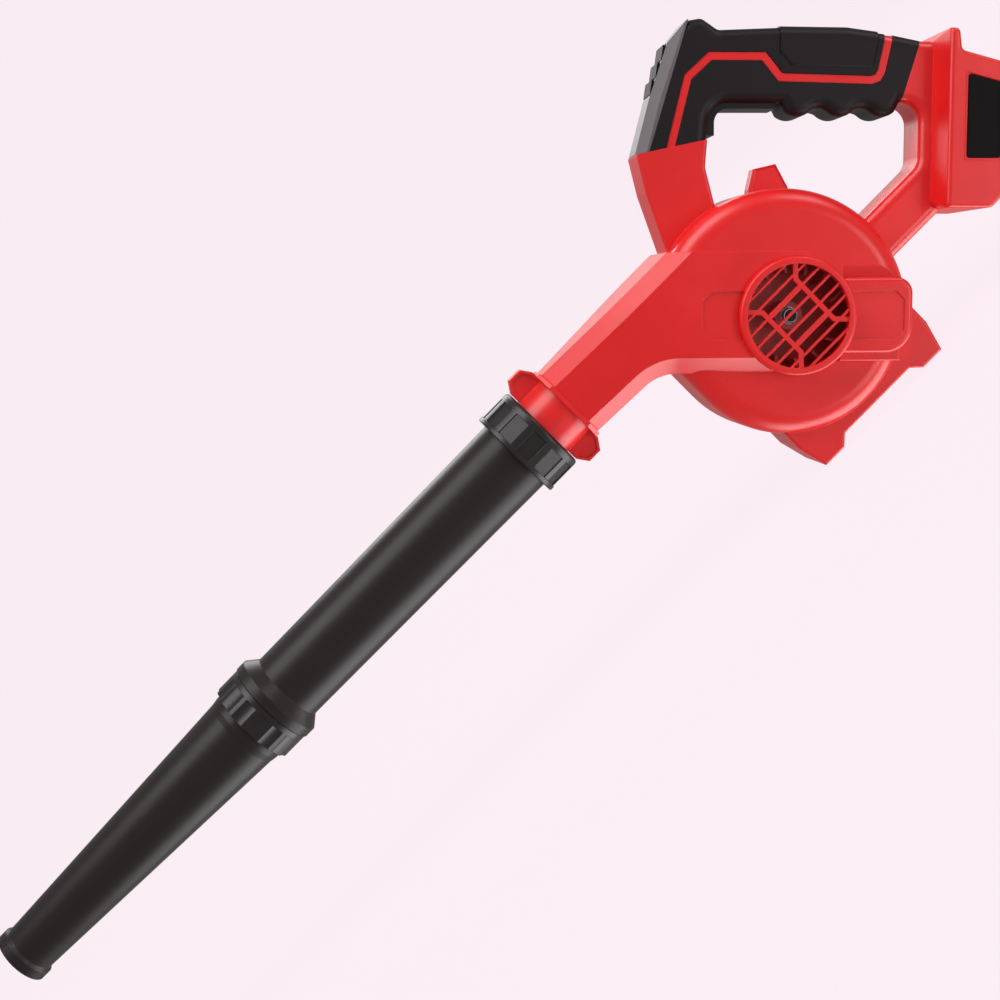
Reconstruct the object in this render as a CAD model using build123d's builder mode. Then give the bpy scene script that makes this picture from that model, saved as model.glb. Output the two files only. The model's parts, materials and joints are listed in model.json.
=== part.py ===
"""Cordless leaf blower with a push-on extension tube and nozzle.

Frame: the blower stands on its feet at z = 0, the nozzle points along -X and the fan turns about a
line parallel to Y. The intake is on the -Y side and the motor on the +Y side. The handle slopes, so
its pieces are drawn on a tilted side plane, with u along the grip and v across it.
"""

import math
import os

from build123d import *

os.makedirs("parts", exist_ok=True)

# Driving dimensions, in millimetres
FAN_Z = 76.5  # fan axis above the floor
HANDLE_TILT = 45.0  # slope of the grip, in degrees
WALL = 2.4  # moulded wall of the housing
FIT = 0.2  # gap between fixed pieces
RUN = 0.4  # gap between pieces that move

# Volute: quarter arcs that grow towards the outlet
SCROLL_R = 65.0
SCROLL_STEP = 4.0
SCROLL_X = -2.0
SCROLL_DROP = 1.0
LOW_Y = 33.0  # lower intake face, measured from the parting plane
HIGH_Y = 39.5  # upper intake face
BAND_Y = 41.0  # raised band across the intake face
FAR_Y = 33.0  # motor side face
FAR_BAND_Y = 36.0
RIM_R = 12.0
PARTITION_Y = 4.0  # wall between fan chamber and motor bay

# Outlet duct and the band that carries it across the intake face
DUCT_X = -124.0
DUCT_H = 45.5
DUCT_HALF = 22.5
DUCT_CHAMFER = 9.0
DUCT_FLARE_X = -60.0
FLARE_R = 160.0
TONGUE_R = 25.0
FLANGE_T = 1.3
FLANGE_LIP = 1.5
BAND_TOP = 35.5
BAND_LOW = -32.0
BAND_SLIM = 21.0
BAND_END = 66.0
BAND_CORNER_R = {1: 9.0, -1: 15.0}  # upper and lower corner at the rear end of the band
BAND_END_ROUND = 2.6
BAND_JOG = (6.0, 24.5)  # stretch where the upper side of the band steps in
BAND_LOW_JOG = (8.0, 25.0)  # the same on the lower side
BAND_ROUND = 1.2
GROOVE_U = (26.0, 80.0)  # sloped groove in the upper face, along the band
GROOVE_W = 6.5
GROOVE_DEPTH = 1.8
BAND_HOLLOW_U = 48.0
LEDGE_V = -25.5
LEDGE_Y = 37.5
LEDGE_END = 60.0
PANEL_DEPTH = 0.8
PANEL_HALF = 13.5
PANEL_BEVEL = 4.8
PANEL_ENDS = {-1: 53.0, 1: 61.0}

# Feet
FOOT_X = 2.0
FOOT_OUT = 51.0
SOLE_OUT = 46.5
SOLE_IN = 32.0
BELLY_IN = 26.0
BELLY_Z = 5.6
FOOT_SIDE_Z = 17.5
FOOT_TOP_Z = 31.0
FOOT_HALF = 25.0
FOOT_ROUND = 1.5

# Screw lugs: two fins at the outlet and one ear on top of the volute
FIN_HALF = 5.5
FIN_CLEAR = 0.6
FIN_BEVEL = 4.5
FIN_SHOULDER = 26.5
FIN_TOP = 33.0
FIN_RIM = 1.7
FIN_SINK = 1.0
EAR = [(-20.5, 60.0), (-20.5, 71.5), (-18.0, 83.0), (-5.0, 86.0), (2.5, 72.5), (2.5, 60.0)]
EAR_HALF = 7.0
EAR_BEVEL = 1.8
EAR_SCREW = (-9.0, 78.0)
POST_SCREW = (-73.0, 80.0)

# Intake grille
INTAKE_R = 28.8
GRILLE_R = 33.0
GRILLE_PROUD = 5.0
GRILLE_ROUND = 2.0
BARS = 8
BAR_SINK = 1.8
BAR_DEPTH = 2.8
RIB_BEND_Z = 15.5
RIB_END = (19.0, 22.0)
SPIGOT_R = 31.0
BAR_PITCH = 7.2
BAR_T = 1.3
RIB_ROW = 1.5  # cross ribs, counted in bar pitches from the middle
RIB_X = 13.0
RIB_T = 2.8

# Handle, on the tilted plane
HANDLE_HALF = 17.5
HANDLE_ROUND = 6.0
POST_ROUND = 1.8  # edges of the front post
CORNER_R = 5.0
PAD_T = 2.2
GRIP_LOW = 119.5  # upper side of the hand opening
OPEN_FRONT = -45.0  # front side of the hand opening
OPEN_REAR = 75.0  # rear side of the hand opening
OPEN_R = 11.0
POST_LOW = 25.0  # where the front post is buried in the volute
HEAD_LINE = [(-69.4, 36.0), (-81.5, 69.0), (-87.0, 90.5), (-79.0, 121.7), (-69.0, 152.3)]
HEAD_TOP = [
    (-59.0, 164.2), (-50.0, 165.8), (-40.5, 159.4), (-5.0, 160.8),
    (33.0, 160.4), (60.0, 156.8), (76.0, 153.6),
]
POST_INNER = [(-47.7, 83.2), (-42.3, 63.0), (-36.0, 45.0)]
PAD_FRONT = [(-100.0, 87.7), (-35.0, 101.1)]  # line where the pads meet the front post
PAD_REAR = [(60.3, 108.0), (81.0, 175.0)]  # line where the pads meet the neck
COVER_LINE = [(-79.6, 91.0), (-58.0, 164.5)]  # line where the vent cover meets the pads
COVER_BEVEL = 5.5
PAD_SEAM_U = -6.0
FINGER_U = 5.0
FINGER_COUNT = 3
FINGER_PITCH = 24.5
FINGER_DEPTH = 4.5
FINGER_DROP = 7.8
FINGER_R = 11.0
STRIPE_W = 4.5
STRIPE_SINK = 0.5
STRIPE = [
    (-69.0, 88.0), (-58.0, 133.0), (-45.5, 144.5), (-15.0, 144.5),
    (-5.5, 133.0), (46.5, 131.6), (50.2, 132.9), (52.2, 136.4), (58.0, 163.0),
]

# Battery dock, on the tilted plane; the battery slides in from the upper end
COLLAR_U = 81.0
COLLAR_RIDGE_U = 86.0
COLLAR_T = 11.5
COLLAR_TOP = 158.0
COLLAR_SLOPE = 5.5
COLLAR_DROP = 1.5
COLLAR_R = 3.0
COLLAR_SCREW_V = (70.0, 138.0)
COLLAR_SCREW_U = 90.5
DOCK_LOW = 59.5
DOCK_TOP = 146.0
DOCK_SLOPE = 7.0
DOCK_DEPTH = 26.5
DOCK_HALF = 36.0
DOCK_BEVEL = 7.5
DOCK_ROUND = 2.4
DOCK_FLOOR = 5.5
RAIL_GAP = 27.0
RAIL_U = 12.0  # rails above the floor of the dock
RAIL_T = 4.0
RECESS_HALF = 31.0
RECESS_LOW = 72.0
PLATE_U = (96.0, 115.0)  # bare plate on the intake side of the dock
PLATE_V = (87.0, 133.0)
PLATE_SLOPE = 5.0
PLATE_ROUND = 1.5
PLATE_PROUD = 0.4
PLATE_SINK = 0.6
BLOCK_HALF = 14.0
BLOCK_V = (76.0, 97.0)
BLOCK_H = 9.0
BLADE_GAP = 9.0
TERMINAL_T = 0.8
TERMINAL_W = 4.0
TERMINAL_L = 14.0

# Rear post between volute and dock
REAR_LOW_Z = 55.5
REAR_TOP_Z = 83.4
REAR_X = 50.0  # where the rear post is buried in the volute
REAR_R = 10.0

# Trigger and switch, on the tilted plane
TRIGGER_PROUD = 3.2
TRIGGER_LEG = 101.5
TRIGGER_TAIL = -6.5
TRIGGER_HALF = 11.0
TRIGGER_FLANGE = 1.4
TRIGGER_FLANGE_T = 3.5
TRIGGER_LEG_T = 6.2
TRIGGER_R = 7.8
TRIGGER_TOP = 128.0
TRIGGER_SEAT = 3.0  # how far the trigger stands inside the front post
PLUNGER_U = -23.0
PLUNGER_R = 2.5
PLUNGER_BORE = 8.0
PLUNGER_ENTRY = 1.6
SPRING_R = 4.2
SPRING_T = 0.8
SWITCH_V = 138.0
SWITCH_H = 14.0
SWITCH_HALF_U = 12.0
SWITCH_HALF = 9.0
SWITCH_RIB = (3.0, 11.0)  # stretch of the ribs above the underside of the switch
SWITCH_RIB_HALF = 7.0
BOARD_U = (-63.0, -52.0)
BOARD_V = (100.0, 150.0)
BOARD_T = 1.6
BOARD_Y = 6.0
BOARD_POST_R = 2.5
BOARD_INSET = 8.0
LOUVRES = 3
LOUVRE_L = 8.0
LOUVRE_GAP = 2.2
LOUVRE_START = 2.0
LOUVRE_HALF = 11.0
LOUVRE_PROUD = 1.6

# Motor and fan
BAY_R = 56.0  # room for the motor, behind the fan chamber
MOTOR_R = 21.0
MOTOR_L = 52.0
CAN_T = 1.5
PLATE_T = 2.5
PLATE_R = 31.0
MOTOR_BOSS_R = 8.0
MOTOR_BOSS_L = 3.0
SHAFT_R = 2.5
SHAFT_GAP = 0.05
BUSH_R = 6.0
BUSH_L = 6.0
END_BELL_L = 6.0
MAGNET_T = 4.0
ARMATURE_R = 15.0
ARMATURE_L = 24.0
WINDING_R = 12.5
WINDING_L = 7.0
COMMUTATOR_R = 5.5
COMMUTATOR_L = 7.0
FAN_R = 52.0
FAN_PLATE_T = 2.0
FAN_GAP = 5.5
BLADE_H = 23.0
BLADE_T = 1.8
BLADE_COUNT = 14
BLADE_SWEEP = 36.0
BLADE_IN_R = 24.0
FAN_RING_IN_R = 42.0
FAN_RING_T = 1.5
HUB_R = 8.0
HUB_L = 17.0
WASHER_R = 5.0
WASHER_T = 1.0
NUT_AF = 8.0
NUT_T = 4.0
DOME_GAP = 4.1
DOME_ROUND = 5.0
VENTS = 10
VENT_W = 3.0
VENT_L = 9.0
VENT_R = 12.0
BRUSH_W = 5.0
BRUSH_Y = 53.5
BRUSH_END_R = 18.0
BRUSH_GAP = 0.3
CAN_SCREW_X = 12.5
PLATE_SCREW_R = 28.2
PLATE_SCREWS = 4
PLATE_SCREW_TURN = 45.0
PLATE_SCREW_L = 4.3
TAB_R = 23.9
TAB_T = 2.6
TAB_HALF = 2.5
MAGNET_ARC = 120.0
MAGNET_L = 36.0
MAGNET_Y = 7.0  # from the front of the can
ARMATURE_Y = 12.0
COMMUTATOR_Y = 43.6
BELL_SPIGOT_L = 8.5
BELL_SPIGOT_IN = 11.0
END_BELL_R = 20.5
SHAFT_FRONT = 6.0  # shaft end in front of the hub
SHAFT_TAIL = 0.5
LEAD_R = 1.6
LEAD_X = -4.0
LEAD_PASS_R = 4.2
LEAD_BEND = 6.0
BATTERY_ROUTE = [(91.0, 88.0), (85.0, 88.0), (83.5, 112.0), (76.0, 136.0), (60.0, 143.0), (-11.0, 143.0)]

# Outlet stub, tube and nozzle; each joint is a stub, a twist ring and a sleeve
STUB_R = 20.4
STUB_BORE_R = 18.0
STUB_GAP = 19.0
STUB_REACH = 20.0
LUG_S = 4.2
LUG_L = 3.6
LUG_R = 24.8
LUG_ANGLE = 30.0
NOTCH_ANGLE = 40.0
LIP_L = 3.2
SLEEVE_S = 9.0
SLEEVE_END_S = 19.0
NOZZLE_SLEEVE_END_S = 13.0
SLEEVE_FLANGE_R = 25.2
RING_BORE_R = 25.6
TUBE_RING_R = 28.5
TUBE_RING_L = 23.0
TUBE_RING_FLANGE_R = 29.2
TUBE_RING_FLANGE_L = 3.0
RING_ROUND = 2.4
FLANGE_ROUND = 0.8
RING_GRIPS = 12
GRIP_CUT = 1.0
GRIP_W = 10.2
GRIP_S = (5.0, 20.0)
TUBE_R0 = 24.0
TUBE_R1 = 22.6
TUBE_BORE_R = 20.8
TUBE_L = 216.0
BELL_R = 28.2
BELL_L = 13.0
BELL_CONE_L = 7.0
NOZZLE_RING_R = 27.5
NOZZLE_RING_L = 16.5
NOZZLE_RIM_L = 3.5
FLUTES = 16
FLUTE_R = 14.0
FLUTE_DEPTH = 0.9
SHOULDER_R = 24.4
SHOULDER_L = 4.0
NOZZLE_L = 202.6
NOZZLE_R0 = 23.7
NOZZLE_R1 = 16.0
NOZZLE_WALL = 2.0
TIP_R = 17.6
TIP_L = 6.0
SEAL_R = 0.7
SEAL_S = 13.5
SEAL_W = 2.0
SEAL_MID_R = 19.8
GROOVE_R = 19.0

# Screws
SCREW_R = 1.5
SCREW_HEAD_R = 3.0
SCREW_HEAD_T = 2.2
SCREW_PILOT = 10.0
SCREW_SINK = 2.4
SCREW_SEAT = 8.0
THREAD_GAP = 0.05
BOSS_R = 4.4

# Derived places
TILT = math.radians(HANDLE_TILT)
SCROLL_Z = FAN_Z - SCROLL_DROP
DUCT_TOP = SCROLL_Z + SCROLL_R + 3 * SCROLL_STEP
DUCT_LOW = DUCT_TOP - DUCT_H
AXIS_Z = DUCT_TOP - DUCT_H / 2
MOUTH_X = DUCT_X - STUB_GAP
BELL_X = MOUTH_X - SLEEVE_S - TUBE_L
NOZZLE_MOUTH_X = BELL_X - RUN
TIP_X = NOZZLE_MOUTH_X - SLEEVE_S - NOZZLE_L
FLOOR_U = COLLAR_U + COLLAR_T + DOCK_FLOOR
DOCK_END = COLLAR_U + COLLAR_T + DOCK_DEPTH
MOTOR_Y = PARTITION_Y + WALL + PLATE_T
MOTOR_END_Y = MOTOR_Y + MOTOR_L
DOME_R = MOTOR_R + DOME_GAP + WALL
DOME_Y = MOTOR_END_Y + END_BELL_L + DOME_GAP + WALL
LEAD_Y = PARTITION_Y + WALL + LEAD_PASS_R
FAN_Y = PARTITION_Y - FAN_GAP
HUB_Y = FAN_Y - FAN_PLATE_T - HUB_L
HOLLOW_HALF = HANDLE_HALF - PAD_T - WALL

SIDE = Plane(origin=(0, 0, 0), x_dir=(1, 0, 0), z_dir=(0, -1, 0))
TILTED = Plane(
    origin=(0, 0, FAN_Z), x_dir=(math.cos(TILT), 0, -math.sin(TILT)), z_dir=(0, -1, 0)
)
GRIP_PLAN = Plane(
    origin=(0, 0, FAN_Z), x_dir=TILTED.x_dir, z_dir=(math.sin(TILT), 0, math.cos(TILT))
)


def tilted(u, v):
    """Side view place (x, z) of a point given along and across the grip."""
    x = u * math.cos(TILT) + v * math.sin(TILT)
    z = FAN_Z - u * math.sin(TILT) + v * math.cos(TILT)
    return (x, z)


def v_at_height(u, z):
    """Place across the grip where a point at u along it is at height z."""
    return (z - FAN_Z + u * math.sin(TILT)) / math.cos(TILT)


def at_x_and_height(x, z):
    """Point on the tilted plane, given by its side view place."""
    rise = z - FAN_Z
    return (x * math.cos(TILT) - rise * math.sin(TILT), x * math.sin(TILT) + rise * math.cos(TILT))


def tilted_at_height(v, z):
    """Where a line along the grip, at distance v from the fan axis, is at height z."""
    return tilted((FAN_Z + v * math.cos(TILT) - z) / math.sin(TILT), v)


def outline(points, mode=Mode.ADD):
    """Fill a closed outline in the sketch that is being drawn."""
    with BuildLine() as edge:
        Polyline(*points, close=True)
    make_face(edge.edges(), mode=mode)


def slab(plane, points, near, far, mode=Mode.ADD):
    """Flat block on a side plane, from y = far to y = -near."""
    with BuildSketch(plane.offset(-far)) as shape:
        outline(points)
    extrude(shape.sketch, amount=near + far, mode=mode)


def fan_disc(radius, y_from, y_to, mode=Mode.ADD):
    """Disc on the fan axis between two places along Y."""
    with BuildSketch(Plane.XZ.offset(-y_to)) as shape:
        with Locations((0, FAN_Z)):
            Circle(radius)
    extrude(shape.sketch, amount=y_to - y_from, mode=mode)


def tube_disc(radius, x_from, x_to, mode=Mode.ADD):
    """Disc on the tube axis between two places along X."""
    with BuildSketch(Plane.YZ.offset(x_from)) as shape:
        with Locations((0, AXIS_Z)):
            Circle(radius)
    extrude(shape.sketch, amount=x_to - x_from, mode=mode)


def rod_v(u, radius, v_from, v_to, mode=Mode.ADD):
    """Rod across the grip, on the parting plane."""
    with BuildSketch(GRIP_PLAN.offset(v_from)) as shape:
        with Locations((u, 0)):
            Circle(radius)
    extrude(shape.sketch, amount=v_to - v_from, mode=mode)


def turned(points, mode=Mode.ADD):
    """Ring or sleeve turned about the tube axis; each point is (x, radius)."""
    with BuildSketch(SIDE) as shape:
        outline([(x, AXIS_Z + r) for x, r in points])
    revolve(shape.sketch, axis=Axis((0, 0, AXIS_Z), (1, 0, 0)), mode=mode)


def sectors(angle, radius, x_from, x_to, mode=Mode.ADD):
    """Two opposite sectors of a disc on the tube axis, one facing each side."""
    y, z = (2 * radius * f(math.radians(angle / 2)) for f in (math.cos, math.sin))
    for side in (1, -1):
        with BuildSketch(Plane.YZ.offset(x_from)) as shape:
            with Locations((0, AXIS_Z)):
                Circle(radius)
            outline([(0, AXIS_Z), (side * y, AXIS_Z - z), (side * y, AXIS_Z + z)], Mode.INTERSECT)
        extrude(shape.sketch, amount=x_to - x_from, mode=mode)


def stub_fittings(mouth_x):
    """Two twist lugs and a seal groove on a stub that starts at the given place."""
    sectors(LUG_ANGLE, LUG_R, mouth_x - LUG_S - LUG_L, mouth_x - LUG_S)
    x0, x1 = mouth_x - SEAL_S - SEAL_W / 2, mouth_x - SEAL_S + SEAL_W / 2
    turned([(x0, GROOVE_R), (x1, GROOVE_R), (x1, LUG_R), (x0, LUG_R)], Mode.SUBTRACT)


def lock_ring_bore(mouth_x, length, sleeve_end, sleeve_r):
    """Inside of a twist ring: a notched lip, room for lugs and flange, and a rear lip round the sleeve."""
    tube_disc(STUB_R + RUN, mouth_x - length, mouth_x, Mode.SUBTRACT)
    tube_disc(RING_BORE_R, mouth_x - sleeve_end - RUN, mouth_x - LIP_L, Mode.SUBTRACT)
    tube_disc(sleeve_r + RUN, mouth_x - length, mouth_x - sleeve_end, Mode.SUBTRACT)
    sectors(NOTCH_ANGLE, LUG_R + RUN, mouth_x - LIP_L, mouth_x, Mode.SUBTRACT)


def seal(mouth_x):
    """Rubber ring that lies in the groove of a stub."""
    with BuildSketch(SIDE) as shape:
        with Locations((mouth_x - SEAL_S, AXIS_Z + SEAL_MID_R)):
            Circle(SEAL_R)
    revolve(shape.sketch, axis=Axis((0, 0, AXIS_Z), (1, 0, 0)))


def scroll(inset=0.0):
    """Volute outline: tangent quarter arcs, smallest beside the tongue and largest at the top."""
    x, z, step, radius = SCROLL_X, SCROLL_Z, SCROLL_STEP, SCROLL_R - inset
    with BuildLine() as edge:
        CenterArc((x, z), radius, 180, 90)
        CenterArc((x, z + step), radius + step, 270, 90)
        CenterArc((x - step, z + step), radius + 2 * step, 0, 90)
        CenterArc((x - step, z + 4 * step), radius - step, 90, 90)
        Line((x - radius, z + 4 * step), (x - radius, z))
    make_face(edge.edges())


def duct_side():
    """Side outline of the duct and of the band that it runs into."""
    return [
        (DUCT_X, DUCT_LOW),
        (DUCT_X, DUCT_TOP),
        tilted_at_height(BAND_TOP, DUCT_TOP),
        tilted(BAND_JOG[0], BAND_TOP),
        tilted(BAND_JOG[1], BAND_SLIM),
        tilted(BAND_END, BAND_SLIM),
        tilted(BAND_END, -BAND_SLIM),
        tilted(BAND_LOW_JOG[1], -BAND_SLIM),
        tilted(BAND_LOW_JOG[0], BAND_LOW),
        tilted_at_height(BAND_LOW, DUCT_LOW),
    ]


def duct_plan(inset=0.0):
    """Plan outline of the duct: narrow at the outlet, as wide as the volute behind it."""
    reach = FOOT_OUT + SCROLL_R
    return [
        (DUCT_X, -DUCT_HALF + inset),
        (DUCT_FLARE_X, -BAND_Y + inset),
        (reach, -BAND_Y + inset),
        (reach, FAR_BAND_Y - inset),
        (DUCT_FLARE_X, FAR_BAND_Y - inset),
        (DUCT_X, DUCT_HALF - inset),
    ]


def finger_wave():
    """Finger crests below the grip: round crests joined by tangent hollows."""
    half = FINGER_PITCH / 2
    bend = 2 * math.atan(FINGER_DEPTH / half)
    du, dv = FINGER_R * math.sin(bend), FINGER_R * (1 - math.cos(bend))
    low = GRIP_LOW - FINGER_DROP
    last = FINGER_U + (FINGER_COUNT - 1) * FINGER_PITCH
    with BuildLine() as edge:
        for i in range(FINGER_COUNT):
            u = FINGER_U + i * FINGER_PITCH
            ThreePointArc((u - du, low + dv), (u, low), (u + du, low + dv))
            if u < last:
                far = u + FINGER_PITCH - du
                ThreePointArc((u + du, low + dv), (u + half, low + FINGER_DEPTH), (far, low + dv))
        Polyline(
            (last + du, low + dv), (last + du + dv, GRIP_LOW), (last + du + dv, GRIP_LOW + WALL),
            (FINGER_U - du - dv, GRIP_LOW + WALL), (FINGER_U - du - dv, GRIP_LOW), (FINGER_U - du, low + dv),
        )
    make_face(edge.edges())


def handle_sketch(inset=0.0, fingers=True):
    """Side outline of front post, head, grip, neck and rear post, inset for the core and the hollow."""
    neck_u = COLLAR_RIDGE_U + WALL
    opening = [(OPEN_REAR, GRIP_LOW), (OPEN_FRONT, GRIP_LOW)]
    ends = [(OPEN_FRONT, POST_LOW), (HEAD_LINE[0][0], POST_LOW)]
    bend = (OPEN_REAR, v_at_height(OPEN_REAR, REAR_TOP_Z))
    neck = [(neck_u, HEAD_TOP[-1][1]), (neck_u, v_at_height(neck_u, REAR_LOW_Z)),
            at_x_and_height(REAR_X, REAR_LOW_Z), at_x_and_height(REAR_X, REAR_TOP_Z), bend]
    outline(HEAD_LINE + HEAD_TOP + neck + opening + POST_INNER + ends)
    round_corners(opening, OPEN_R)
    round_corners([bend], REAR_R)
    round_corners(HEAD_LINE + HEAD_TOP[:-1] + POST_INNER, CORNER_R)
    if fingers:
        finger_wave()
    if inset:
        offset(amount=-inset, kind=Kind.INTERSECTION, mode=Mode.REPLACE)


def line_at(line, u):
    """Height v of a straight line, given by two points, at u."""
    (u0, v0), (u1, v1) = line
    return v0 + (v1 - v0) * (u - u0) / (u1 - u0)


def box(u, v):
    """Corners of a rectangle on the tilted plane."""
    return [(u[0], v[0]), (u[1], v[0]), (u[1], v[1]), (u[0], v[1])]


def upper_half(low):
    """Side outline of everything above a line along the grip."""
    reach = 2 * SCROLL_R
    return [tilted(u, v) for u, v in box((-reach, reach), (low, reach))]


def pad_zone():
    """Region of the handle that the soft pads and the vent cover take."""
    return [PAD_FRONT[0], PAD_FRONT[1], (PAD_FRONT[1][0], PAD_REAR[0][1]), *PAD_REAR,
            (PAD_FRONT[0][0], PAD_REAR[1][1])]


def post_zone():
    """Region of the front post, below the pads."""
    return [PAD_FRONT[0], PAD_FRONT[1], (PAD_FRONT[1][0], 0), (PAD_FRONT[0][0], 0)]


def on_pad_line(edge):
    """True for an edge along the line where the pads meet the front post."""
    centre = TILTED.to_local_coords(edge.center())
    return abs(centre.Y - line_at(PAD_FRONT, centre.X)) < FIT


def cover_outline():
    """Side outline of the vent cover: the front of the head, back to the pads."""
    low, high = COVER_LINE
    return [*HEAD_LINE[2:], HEAD_TOP[0], high, (low[0], line_at(PAD_FRONT, low[0]))]


def on_cover_front(edge):
    """True for the two long edges along the front of the vent cover."""
    centre = TILTED.to_local_coords(edge.center())
    return any(
        abs(centre.X - (a[0] + b[0]) / 2) + abs(centre.Y - (a[1] + b[1]) / 2) < FIT
        for a, b in zip(HEAD_LINE[2:], HEAD_LINE[3:])
    )


def cover_zone(gap=0.0):
    """Region in front of the line where the vent cover meets the pads."""
    low, high = COVER_LINE
    return [(low[0] + gap, line_at(PAD_FRONT, low[0])), (high[0] + gap, high[1]),
            (high[0] + gap, PAD_REAR[1][1]), (PAD_FRONT[0][0], PAD_REAR[1][1]), PAD_FRONT[0]]


def upper_zone():
    """Region above the middle of the coloured stripe."""
    return STRIPE + [(STRIPE[-1][0], PAD_REAR[1][1]), (PAD_FRONT[0][0], PAD_REAR[1][1]),
                     (PAD_FRONT[0][0], STRIPE[0][1])]


def stripe_strip(width):
    """Band of the given width along the stripe, in the current sketch."""
    with BuildLine() as path:
        Polyline(*STRIPE)
    trace(path.edges(), width)


def screw_row():
    """Side view places of the housing screws, each with the depth of housing around it."""
    fin_x = (MOUTH_X + FIN_CLEAR + DUCT_X - FLANGE_T / 2) / 2
    fin_r = (FIN_SHOULDER + FIN_TOP) / 2 - FIN_BEVEL / 2
    foot_x = (SOLE_IN + SOLE_OUT) / 2
    return [
        (fin_x, AXIS_Z + fin_r, FIN_HALF - FIN_SINK),
        (fin_x, AXIS_Z - fin_r, FIN_HALF - FIN_SINK),
        (*tilted(*EAR_SCREW), EAR_HALF),
        (FOOT_X - foot_x, BELLY_Z + BOSS_R, FOOT_HALF),
        (FOOT_X + foot_x, BELLY_Z + BOSS_R, FOOT_HALF),
        (*tilted(*POST_SCREW), HANDLE_HALF),
        (*tilted(COLLAR_SCREW_U, COLLAR_SCREW_V[0]), DOCK_HALF),
        (*tilted(COLLAR_SCREW_U, COLLAR_SCREW_V[1]), DOCK_HALF),
    ]


def screw_seat(half):
    """Where a screw head seats, on the motor side of the parting plane."""
    return min(half - SCREW_SINK, SCREW_SEAT)


def screw_depth(half):
    """How far a screw goes into the intake side."""
    return min(half - WALL / 2, SCREW_PILOT)


def cylinders_y(places, radius, mode=Mode.ADD):
    """Cylinders along Y; each place is (x, z, y_from, y_to)."""
    for x, z, y_from, y_to in places:
        with BuildSketch(Plane.XZ.offset(-y_to)) as shape:
            with Locations((x, z)):
                Circle(radius)
        extrude(shape.sketch, amount=y_to - y_from, mode=mode)


def block_foot():
    """Stretch along v where the terminal block goes through the floor of the dock."""
    return (BLOCK_V[0] + WALL, BLOCK_V[1] - WALL)


def panel_outline(mark):
    """Shallow panel on the band, left (-1) or right (1) of the grille, with bevelled outer corners."""
    inner, outer = GRILLE_R - 2 * BAR_PITCH, PANEL_ENDS[mark]
    half = [(inner, PANEL_HALF), (outer - PANEL_BEVEL, PANEL_HALF), (outer, PANEL_HALF - PANEL_BEVEL)]
    side = half + [(u, -v) for u, v in reversed(half)]
    return [(mark * u, v) for u, v in side]


def board_posts():
    """Side view places of the two posts that carry the controller board."""
    u = (BOARD_U[0] + BOARD_U[1]) / 2
    return [tilted(u, v) for v in (BOARD_V[0] + BOARD_INSET, BOARD_V[1] - BOARD_INSET)]


def plate_screw_places():
    """Side view places of the screws that hold the motor plate."""
    turns = [math.radians(PLATE_SCREW_TURN + i * 360 / PLATE_SCREWS) for i in range(PLATE_SCREWS)]
    return [(PLATE_SCREW_R * math.cos(a), FAN_Z + PLATE_SCREW_R * math.sin(a)) for a in turns]


def louvre_at(along, out):
    """Point on the front of the vent cover, measured along its face and out from it."""
    (u0, v0), (u1, v1) = HEAD_LINE[-2:]
    length = math.dist((u0, v0), (u1, v1))
    du, dv = (u1 - u0) / length, (v1 - v0) / length
    return (u0 + along * du - out * dv, v0 + along * dv + out * du)


def passage_end(half_near, half_far):
    """Octagonal section of the air passage, on a plane across the tube axis."""
    bevel = DUCT_CHAMFER - WALL / 2
    z0, z1 = DUCT_LOW + WALL, DUCT_TOP - WALL
    y0, y1 = -half_near, half_far
    return [(y0 + bevel, z0), (y1 - bevel, z0), (y1, z0 + bevel), (y1, z1 - bevel),
            (y1 - bevel, z1), (y0 + bevel, z1), (y0, z1 - bevel), (y0, z0 + bevel)]


def plate_sketch():
    """Bare plate on the dock: its upper side slopes as the top of the dock does."""
    (u0, u1), (v0, v1) = PLATE_U, PLATE_V
    outline([(u0, v0), (u1, v0), (u1, v1 - PLATE_SLOPE), (u0, v1)])
    fillet(vertices(), PLATE_ROUND)


def round_corners(points, radius):
    """Round the corners of the current sketch that lie at the given points."""
    corners = [v for v in vertices() if min(math.dist((v.X, v.Y), p) for p in points) < RUN]
    fillet(corners, radius)


def on_duct_edge(point):
    """True for the long edges along the top and the underside of the duct and its band."""
    beside = abs(point.Y) > DUCT_HALF
    top = point.Z > DUCT_TOP - FIT
    under = point.Z < DUCT_LOW + FIT and point.X < tilted(BAND_LOW_JOG[0], BAND_LOW)[0] - WALL
    return beside and (top or under)


def on_band_end(edge):
    """True for the edges round the rear end of the band, on both faces."""
    face_y = edge.center().Y
    along = TILTED.to_local_coords(edge.center()).X
    return along > BAND_JOG[1] + FIT and min(abs(face_y + BAND_Y), abs(face_y - FAR_BAND_Y)) < FIT


def fin_outline(side):
    """Six-sided lug above (1) or below (-1) the outlet stub, with room for a screw."""
    x0, x1 = MOUTH_X + FIN_CLEAR, DUCT_X - FLANGE_T / 2
    z0, z1, z2 = (AXIS_Z + side * r for r in (STUB_R - WALL, FIN_SHOULDER, FIN_TOP))
    return [(x0, z0), (x0, z1), (x0 + FIN_BEVEL, z2), (x1 - FIN_BEVEL, z2), (x1, z1), (x1, z0)]


def foot_outline():
    """Two feet and the belly between them."""
    half = [(FOOT_OUT, FOOT_TOP_Z), (FOOT_OUT, FOOT_SIDE_Z), (SOLE_OUT, 0), (SOLE_IN, 0),
            (BELLY_IN, BELLY_Z)]
    rear = [(FOOT_X + x, z) for x, z in half]
    front = [(FOOT_X - x, z) for x, z in reversed(half)]
    return rear + front


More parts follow.
